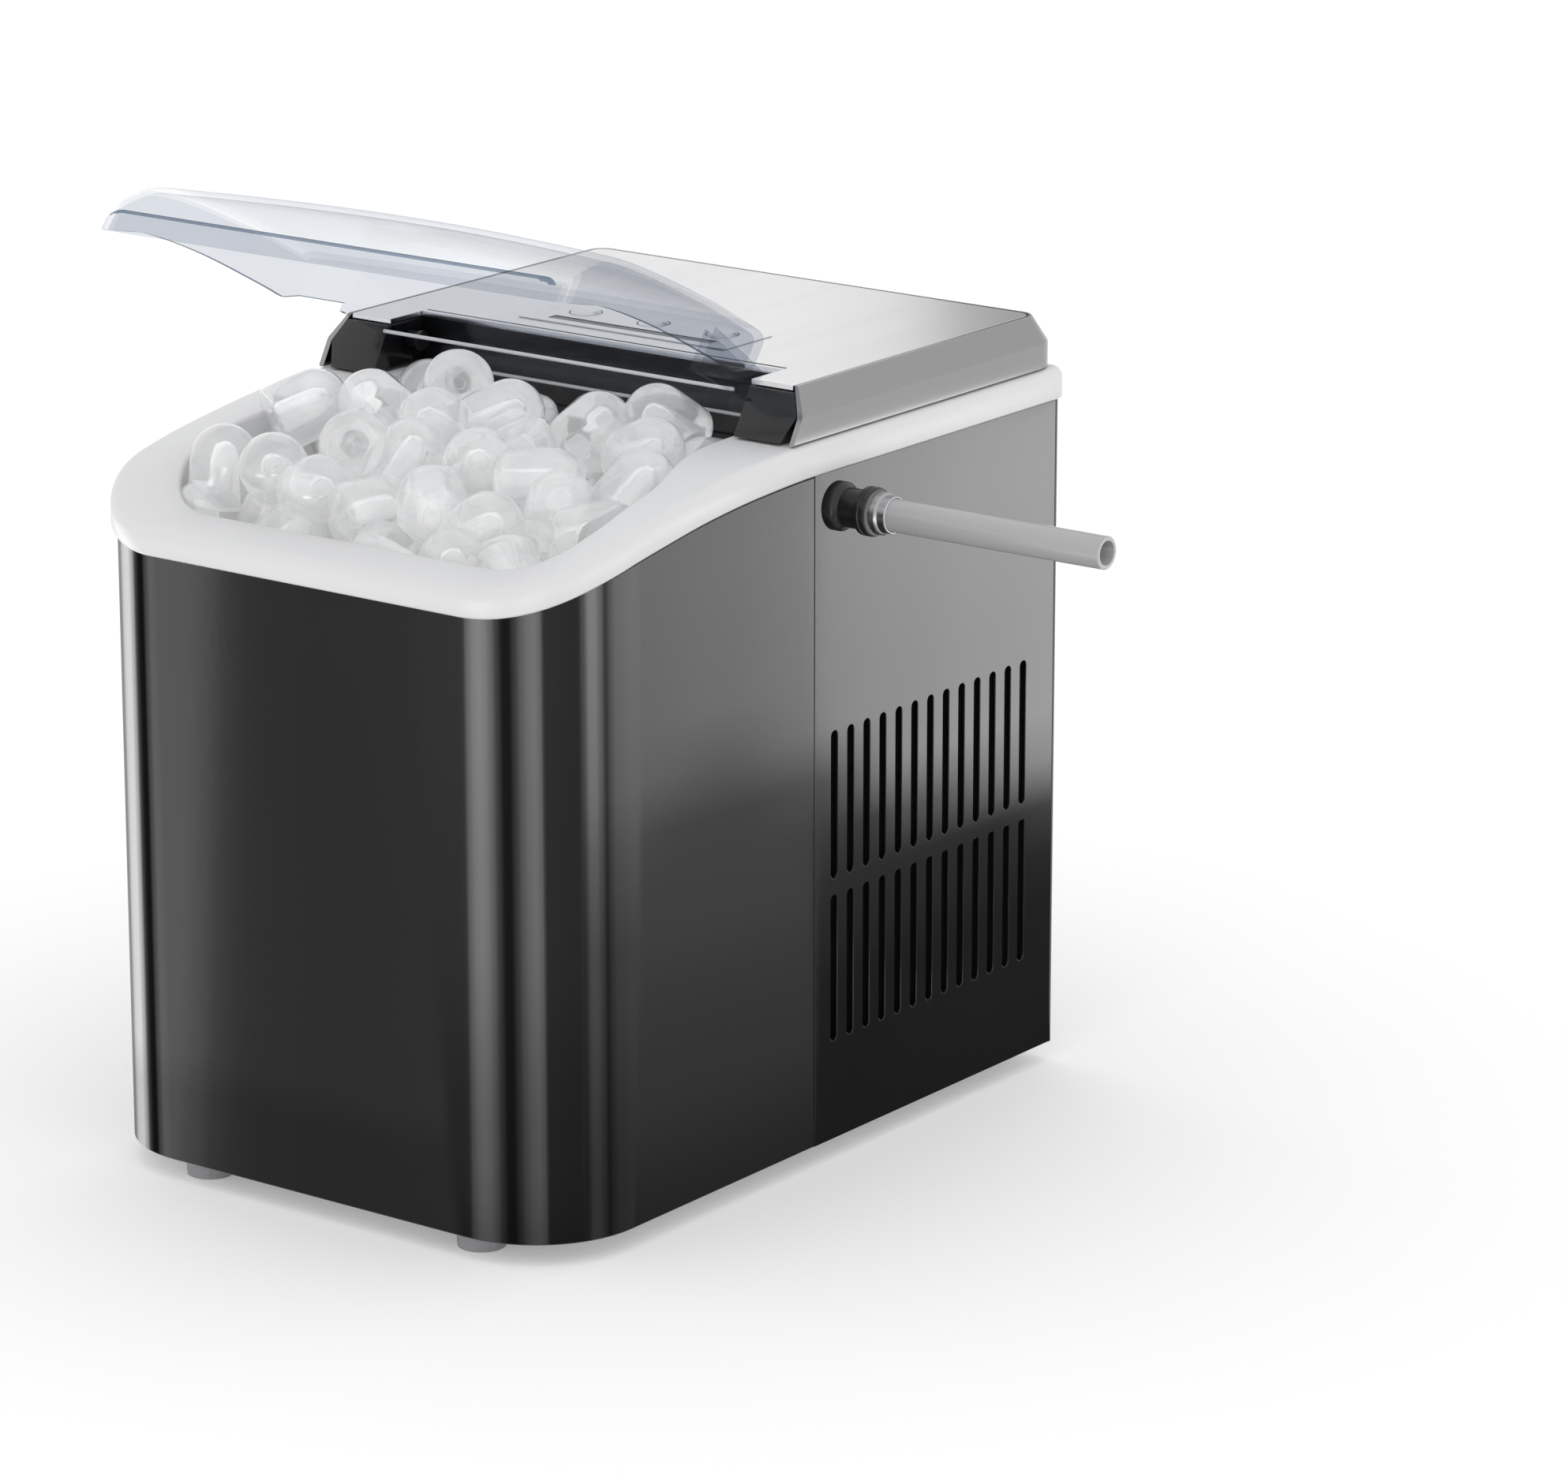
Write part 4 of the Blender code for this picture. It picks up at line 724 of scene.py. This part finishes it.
def make_lid():
    """The clear shell, its faces sorted into three finishes, one a painted dark edge line, and a light grey rib
    across the part over the hinge as a painted highlight.
    """
    outer = combined(dome(0.0, 0.0), [tongue(0.0, 0.0)], "UNION")
    axis = Vector((0.0, LID_AXIS[1], LID_AXIS[2]))
    profile = [(0.0, -0.1), (HINGE_PIN_RADIUS, -0.1), (HINGE_PIN_RADIUS, 0.1), (0.0, 0.1)]
    bore = turned(profile, axis, "X", 24)
    shell = combined(outer, [dome(LID_WALL, 0.010), tongue(LID_WALL, 0.025), bore], "DIFFERENCE")
    turn = Matrix.Translation(axis) @ Matrix.Rotation(-LID_REST, 4, "X") @ Matrix.Translation(-axis)
    kinds = [2 if is_lid_edge(polygon) else int(is_lid_wall(polygon)) for polygon in shell.polygons]
    shell.transform(turn)
    lid = piece("lid_clear_shell", shell, LID_FINISH, "lid", "lid_clear_blue", "lid_shell", angle=30)
    lid.data.materials.append(LID_WALL_FINISH)
    lid.data.materials.append(LID_EDGE_PAINTED_SHADE)
    lid.data.polygons.foreach_set("material_index", kinds)
    # A light grey line along the lower edge of the part over the hinge: a painted highlight for the clear edge's
    # glint.
    rib = plate(arc(-0.0117, 0.2786, 0.0007, 0, 330, 11), -TONGUE_HALF + 0.001, TONGUE_HALF - 0.001, "X")
    rib.transform(turn)
    piece("lid_highlight_rib", rib, GREY_FOR_SHADE_AND_HIGHLIGHTS, "lid", "lid_clear_blue", angle=60)


# Water outlet

def make_outlet():
    """Flange, ring nut, collar and pipe, each turned from (radius, distance from the centre line) points."""
    face = HALF_WIDTH + 0.0003

    def fitting(name, outer, bore, finish, slot, node):
        low, high = outer[-1][1], outer[0][1]
        mesh = turned(outer + [(bore, low), (bore, high)], (0.0, OUTLET_Y, OUTLET_Z))
        fitted = piece(name, mesh, finish, "cabinet", slot, node, angle=30)
        fitted.visible_glossy = False

    flange = [(0.0070, 0.1247), (0.00725, 0.1244), (0.00725, 0.1172), (0.0080, 0.1164), (0.0087, 0.1158),
              (0.0090, 0.1152), (0.0090, face + 0.0004), (0.0087, face), (0.0058, face), (0.0058, 0.1045)]
    fitting("outlet_flange", flange, 0.0042, FITTING_FINISH, "fitting_black", "drain_flange")
    nut = [(0.0084, 0.1300), (0.0089, 0.1296), (0.0090, 0.1290), (0.0090, 0.1280), (0.0085, 0.1278),
           (0.0085, 0.1272), (0.0090, 0.1270), (0.0090, 0.1260), (0.0089, 0.1254), (0.0084, 0.1250)]
    fitting("outlet_nut", nut, 0.0063, FITTING_FINISH, "fitting_black", "drain_nut")
    collar = [(0.0066, 0.1375), (0.0069, 0.1372), (0.0069, 0.1343), (0.0075, 0.1340), (0.0078, 0.1335),
              (0.0078, 0.1315), (0.0075, 0.1310), (0.0069, 0.1308), (0.0069, 0.1303)]
    fitting("outlet_collar", collar, 0.0063, COLLAR_FINISH, "collar_chrome", "drain_collar")
    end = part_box("drain_pipe")[1][0] - CENTRE_X
    tube = [(0.0047, end), (0.0057, end), (0.0060, end - 0.0003), (0.0060, 0.1253)]
    fitting("outlet_pipe", tube, 0.0045, PIPE_FINISH, "pipe_grey", "drain_pipe")


# Ice

def bullet_mesh():
    """A hollow ice bullet: domed at one end, with a tapered hollow from the other end."""
    outer = [(max(r, 0.0), h) for r, h in arc(0.0, 0.004, 0.0120, 90, 0, 12)]
    skirt = [(0.0122, 0.000), (0.0124, -0.006), (0.0123, -0.0105), (0.0117, -0.0118), (0.0106, -0.0122)]
    hollow = [(0.0052, -0.0119), (0.0046, -0.0108), (0.0042, -0.004), (0.0038, 0.004), (0.0026, 0.0078),
              (0.0, 0.0090)]
    profile = outer + skirt + hollow
    builder = bmesh.new()
    sides = 28
    rows = []
    for step in range(sides):
        angle = math.tau * step / sides
        rows.append([builder.verts.new((r * math.cos(angle), r * math.sin(angle), h)) for r, h in profile])
    for first, second in zip(rows, rows[1:] + rows[:1]):
        for i in range(len(profile) - 1):
            builder.faces.new((first[i], first[i + 1], second[i + 1], second[i]))
    bmesh.ops.remove_doubles(builder, verts=builder.verts, dist=0.00001)
    return outward(builder, "ice_bullet")


def settle(count):
    """Places for the bullets: spheres that fall into the basin and push each other apart."""
    radius, fall, steps = 0.0128, 0.0006, 260
    places = []
    for i in range(count):
        places.append(Vector((random.uniform(-0.078, 0.078), random.uniform(-0.118, -0.020),
                              0.235 + 0.075 * i / count)))
    for _ in range(steps):
        for p in places:
            p.z -= fall
        for _ in range(2):
            for i, p in enumerate(places):
                for q in places[:i]:
                    gap = p - q
                    distance = gap.length
                    if 1e-6 < distance < 2 * radius:
                        push = gap * ((2 * radius - distance) / distance / 2)
                        p += push
                        q -= push
            for p in places:
                half = opening_half(p.y) - radius - 0.001
                p.x = min(max(p.x, -half), half)
                p.y = min(max(p.y, BASIN_FRONT + radius + 0.001), -0.004)
                floor = 0.238 + max(0.0, (p.y + 0.045)) * 0.45
                p.z = max(p.z, floor)
    return places


BULLET_SCALE = 1.05
FILL_COUNT = 72
CLEAR_OF_TOP = 0.0185

# Bullets on top of the heap: place in millimetres, then the bearing and rise of the domed end in degrees
TOP_BULLETS = ((-76, -63, 272, 60, 20), (-50, -54, 274, 150, 10), (-38, -22, 275, 135, -35), (-5, -37, 273, 20, 30),
               (29, -26, 271, 100, 15), (56, -30, 267, -20, 25), (-38, -80, 265, 130, -20), (-15, -79, 263, 60, 60),
               (11, -70, 264, -50, 30), (-77, -107, 257, 0, 85), (-56, -103, 259, -60, 30), (-32, -108, 256, -30, 20),
               (38, -68, 261, 10, 10), (-8, -106, 251, 70, 5), (16, -102, 254, -50, -15), (53, -76, 254, 120, 25),
               (38, -101, 250, -10, 35), (70, -54, 260, 80, 40), (76, -84, 250, 30, 15), (-22, -52, 270, -100, 40))


def make_ice():
    """The heap: the listed bullets on top, over bullets that settled in the basin."""
    base = bullet_mesh()
    base.transform(Matrix.Scale(BULLET_SCALE, 4))
    builder = bmesh.new()

    def add(place, turn):
        copy = base.copy()
        copy.transform(Matrix.Translation(place) @ turn)
        builder.from_mesh(copy)
        bpy.data.meshes.remove(copy)

    shown = []
    for x, y, z, bearing, rise in TOP_BULLETS:
        shown.append(Vector((x, y, z)) / 1000)
        b, r = math.radians(bearing), math.radians(rise)
        facing = Vector((math.cos(b) * math.cos(r), math.sin(b) * math.cos(r), math.sin(r)))
        add(shown[-1], facing.to_track_quat("Z", "Y").to_matrix().to_4x4())
    for place in settle(FILL_COUNT):
        turn = Matrix.Rotation(random.uniform(0, math.tau), 4, "Z") @ Matrix.Rotation(
            random.uniform(0.2, 2.9), 4, "X")
        slope = 0.250 + 0.26 * (place.y + 0.115)
        if place.z < slope and min((place - other).length for other in shown) > CLEAR_OF_TOP:
            add(place, turn)
    mesh = bpy.data.meshes.new("ice_heap")
    builder.to_mesh(mesh)
    builder.free()
    piece("ice_bullets", mesh, ICE_FINISH, "cabinet", "lid_clear_blue", angle=50)


# Studio

def make_floor():
    """A plain pale floor and an even white studio round it."""
    bpy.ops.mesh.primitive_plane_add(size=30.0, location=(0.0, 0.0, 0.0))
    floor = bpy.context.object
    floor.name = "studio_floor"
    n = Nodes("studio_floor_white").set(
        Roughness=0.9, Specular_IOR_Level=0.0, Emission_Color=(1.0, 1.0, 1.0), Emission_Strength=0.19)
    n.blend(n.remap(n.noise(0.6, 2.0), 0.0, 1.0), (0.845, 0.845, 0.847), (0.86, 0.86, 0.862))
    floor.data.materials.append(n.material)
    world = bpy.data.worlds.new("studio")
    bpy.context.scene.world = world
    world.use_nodes = True
    world.node_tree.nodes["Background"].inputs["Color"].default_value = (1.0, 1.0, 1.0, 1.0)
    world.node_tree.nodes["Background"].inputs["Strength"].default_value = 1.02
    bpy.context.scene.view_settings.view_transform = "Standard"


def reading(stops, at):
    """The value of a list of (place, value) stops at a place between them."""
    if at <= stops[0][0]:
        return stops[0][1]
    for (p, v), (q, w) in zip(stops, stops[1:]):
        if at <= q:
            t = (at - p) / (q - p)
            return v + (w - v) * t * t * (3 - 2 * t)
    return stops[-1][1]


def light_card(name, columns):
    """A glowing sheet seen only in gloss, from columns of (place, brightness) points."""
    builder = bmesh.new()
    rows = [[builder.verts.new(place) for place, _ in column] for column in columns]
    for first, second in zip(rows, rows[1:]):
        for i in range(len(first) - 1):
            builder.faces.new((first[i], first[i + 1], second[i + 1], second[i]))
    mesh = bpy.data.meshes.new(name)
    builder.to_mesh(mesh)
    builder.free()
    glow = mesh.attributes.new("glow", "FLOAT", "POINT")
    glow.data.foreach_set("value", [value for column in columns for _, value in column])
    material = bpy.data.materials.new(name)
    material.use_nodes = True
    tree = material.node_tree
    tree.nodes.clear()
    level = tree.nodes.new("ShaderNodeAttribute")
    level.attribute_name = "glow"
    emission = tree.nodes.new("ShaderNodeEmission")
    tree.links.new(level.outputs["Fac"], emission.inputs["Strength"])
    tree.links.new(emission.outputs["Emission"], tree.nodes.new("ShaderNodeOutputMaterial").inputs["Surface"])
    mesh.materials.append(material)
    card = bpy.data.objects.new(name, mesh)
    bpy.context.scene.collection.objects.link(card)
    card.visible_camera = card.visible_diffuse = card.visible_shadow = card.visible_transmission = False


# Brightness of the softboxes: across the front by x, and round the two front corners by the corner's turn in degrees
FRONT_GLOW = ((-0.069, 1.8), (-0.060, 1.36), (-0.050, 0.82), (-0.040, 0.61), (-0.030, 0.51), (-0.020, 0.50),
              (0.0, 0.47), (0.069, 0.51))
RIGHT_GLOW = ((0, 0.5), (3, 0.62), (6, 2.6), (9, 3.9), (12, 4.4), (15, 3.95), (18, 2.6), (21, 0.93), (24, 0.14),
              (27, 0.12), (30, 0.85), (33, 2.15), (36, 3.1), (39, 3.5), (42, 2.6), (43.5, 0.5), (57, 0.42),
              (60, 0.42), (63, 0.9), (66, 2.5), (69, 2.5), (72, 1.5), (75, 0.4), (78, 1.0), (81, 1.4), (90, 1.3))
LEFT_GLOW = ((-52, 0.44), (-48, 0.53), (-44, 0.51), (-40, 0.5), (-36, 0.79), (-32, 2.26), (-28, 3.57), (-24, 4.7),
             (-20, 3.5), (-17, 0.5), (-14, 0.06), (-11, 0.03), (-8, 1), (-5, 1.95), (-3, 2), (0, 1.8))
# Brightness by distance from the cover, and the distances of a card's points
RISE = ((0.0, 0.35), (0.10, 0.55), (0.42, 1.0), (0.75, 1.18), (0.95, 1.18))
REACH = (0.0, 0.03, 0.06, 0.10, 0.15, 0.21, 0.28, 0.35, 0.42, 0.50, 0.58, 0.67, 0.76, 0.85, 0.95, 1.04, 1.12,
         1.15, 1.19, 1.24, 1.34)


def far_fade(distance, y, value):
    """Beyond what the covers show, a card settles to the level that suits the metal band above."""
    share = min(max((distance - 1.13) / 0.05, 0.0), 1.0)
    far = 0.72 + 0.13 * min(max(y / HALF_DEPTH, 0.0), 1.0)
    return value + (far - value) * share


def make_cards():
    """Softbox sheets laid just over the floor, each column along what one place on the covers reflects."""
    low = 0.001
    eye = CAMERA_AIM + CAMERA_BACK * CAMERA_DISTANCE

    def strip(x, y, turned_by, level):
        bearing = turned_by - math.atan2(eye.x - x - CENTRE_X, y - eye.y)
        c, s = math.sin(bearing), -math.cos(bearing)
        return [((x + CENTRE_X + c * t, y + s * t, low), far_fade(t, y, level(t))) for t in REACH]

    columns = []
    for turn in range(-52, 1):
        a = math.radians(turn)
        glow = reading(LEFT_GLOW, turn)
        columns.append(strip(-FLAT_HALF + CORNER * math.sin(a), FRONT_Y + CORNER - CORNER * math.cos(a), 2 * a,
                             lambda t, g=glow: g * (1.0 if t > 0.1 else 0.8)))
    for step in range(1, 24):
        x = -FLAT_HALF + 2 * FLAT_HALF * step / 24
        glow = reading(FRONT_GLOW, x)
        columns.append(strip(x, FRONT_Y, 0.0, lambda t, g=glow: g * (1.0 if t > 0.1 else 0.75)))
    for turn in range(91):
        a = math.radians(turn)
        glow = reading(RIGHT_GLOW, turn)
        columns.append(strip(FLAT_HALF + CORNER * math.sin(a), FRONT_Y + CORNER - CORNER * math.cos(a), 2 * a,
                             lambda t, g=glow, u=turn: g * (reading(RISE, t) if u < 62 else side_rise(t))))
    light_card("card_front", columns)
    columns = []
    flat_start = -0.1113
    for step in range(31):
        y = flat_start + (SEAM_Y - flat_start) * step / 30
        columns.append(strip(HALF_WIDTH, y, math.pi, lambda t, u=y: side_glow(t, u)))
    light_card("card_side_front", columns)
    columns = []
    for step in range(41):
        y = SEAM_Y + 0.0005 + (HALF_DEPTH + 0.02 - SEAM_Y) * step / 40
        columns.append(strip(HALF_WIDTH, y, math.pi, lambda t, u=y: side_glow(t, u)))
    light_card("card_side_rear", columns)


def side_rise(t):
    """How the last part of the corner's softbox brightens with distance."""
    return reading(((0.05, 0.25), (0.35, 0.55), (0.50, 1.0), (0.62, 1.6), (0.95, 1.9)), t)


def side_glow(t, y):
    """The side's softbox: dark near the cabinet, bright further out, and brighter behind the seam."""
    if y < SEAM_Y:
        high = reading(((-0.111, 1.95), (-0.060, 2.2), (-0.003, 2.65)), y)
        start = reading(((-0.111, 0.47), (-0.060, 0.50), (-0.003, 0.46)), y)
        base = reading(((0.0, 0.2), (0.2, 0.45), (0.4, 0.7), (0.55, 0.8)), t)
        width = 0.16
    else:
        high = reading(((-0.003, 3.4), (0.05, 3.75), (0.10, 4.1), (0.17, 4.4)), y)
        start = reading(((-0.003, 0.47), (0.02, 0.44), (0.05, 0.38), (0.17, 0.32)), y)
        base = reading(((0.0, 0.1), (0.2, 0.12), (0.35, 0.3), (0.45, 0.6)), t)
        width = 0.14
    share = min(max((t - start) / width, 0.0), 1.0)
    share = share * share * (3 - 2 * share)
    lift = 1.0 + 0.12 * min(max((t - 0.65) / 0.3, 0.0), 1.0)
    return base + (high * lift - base) * share


def make_flag():
    """A grey flag behind the hood: its top sheet darkens towards the back right corner."""
    shades = ((-0.30, 1.0), (-0.17, 1.0), (-0.115, 0.93), (-0.09, 0.76), (-0.07, 0.52), (-0.05, 0.38), (-0.03, 0.40),
              (0.03, 1.0), (0.30, 1.0))
    columns = []
    for step in range(41):
        x = -0.30 + 0.60 * step / 40
        level = reading(shades, x)
        columns.append([((x + CENTRE_X, 0.35, z), level) for z in (0.30, 0.40, 0.50, 0.65)])
    light_card("card_flag", columns)


def make_camera():
    """The camera that the picture is taken with."""
    data = bpy.data.cameras.new("camera")
    data.lens = CAMERA_LENS
    data.sensor_width = 36.0
    camera = bpy.data.objects.new("camera", data)
    camera.location = CAMERA_AIM + CAMERA_BACK * CAMERA_DISTANCE
    camera.rotation_euler = (-CAMERA_BACK).to_track_quat("-Z", "Y").to_euler()
    bpy.context.scene.collection.objects.link(camera)
    bpy.context.scene.camera = camera


make_camera()
make_floor()
make_cards()
make_flag()
make_cover()
make_side_panel(-1, "left_panel_sheet", "left_side_panel", False)
make_side_panel(1, "right_panel_sheet", "right_side_panel", True)
make_slot_shade_sheets()
make_rim()
make_hood()
make_caps()
make_hood_lines()
make_lid()
make_outlet()
make_ice()

repaint(CAP_FINISH, "hood_fascia", "indicator_lens")
repaint(HOOD_TOP_FINISH, "control_bezel", "power_button", "select_button", "clean_button")
repaint(BACK_FINISH, "back_panel")
# The inner tank's grey is painted shade for the inside of the basin.
repaint(GREY_FOR_SHADE_AND_HIGHLIGHTS, "inner_tank")
repaint(BASKET_FINISH, "ice_basket", "ice_shovel", "water_tray")
repaint(FITTING_FINISH, "hinge_pin_left", "hinge_pin_right", "power_inlet", "ice_full_sensor", "fan_shroud",
        "fan_rotor", "water_pump")
repaint(PLATED_FINISH, "evaporator")
repaint(PIPE_FINISH, "tray_bracket_left", "tray_bracket_right", "shovel_rail_left", "shovel_rail_right")
repaint(FOOT_FINISH, "foot_front_left", "foot_front_right", "foot_rear_left", "foot_rear_right", "drain_plug")
# The hoses' near black is painted shade for the cabinet's dark inside.
repaint(HOSE_PAINTED_SHADE, "drain_hose", "supply_hose")
repaint(METAL_FINISH, "base_pan", "condenser_core", "fan_motor", "tray_motor")
repaint(PAINT_FINISH, "compressor")
repaint(COPPER_FINISH, "dryer_filter", "suction_line", "discharge_line")
repaint(FOAM_FINISH, "foam_insulation")
repaint(BOARD_FINISH, "power_board", "control_board")
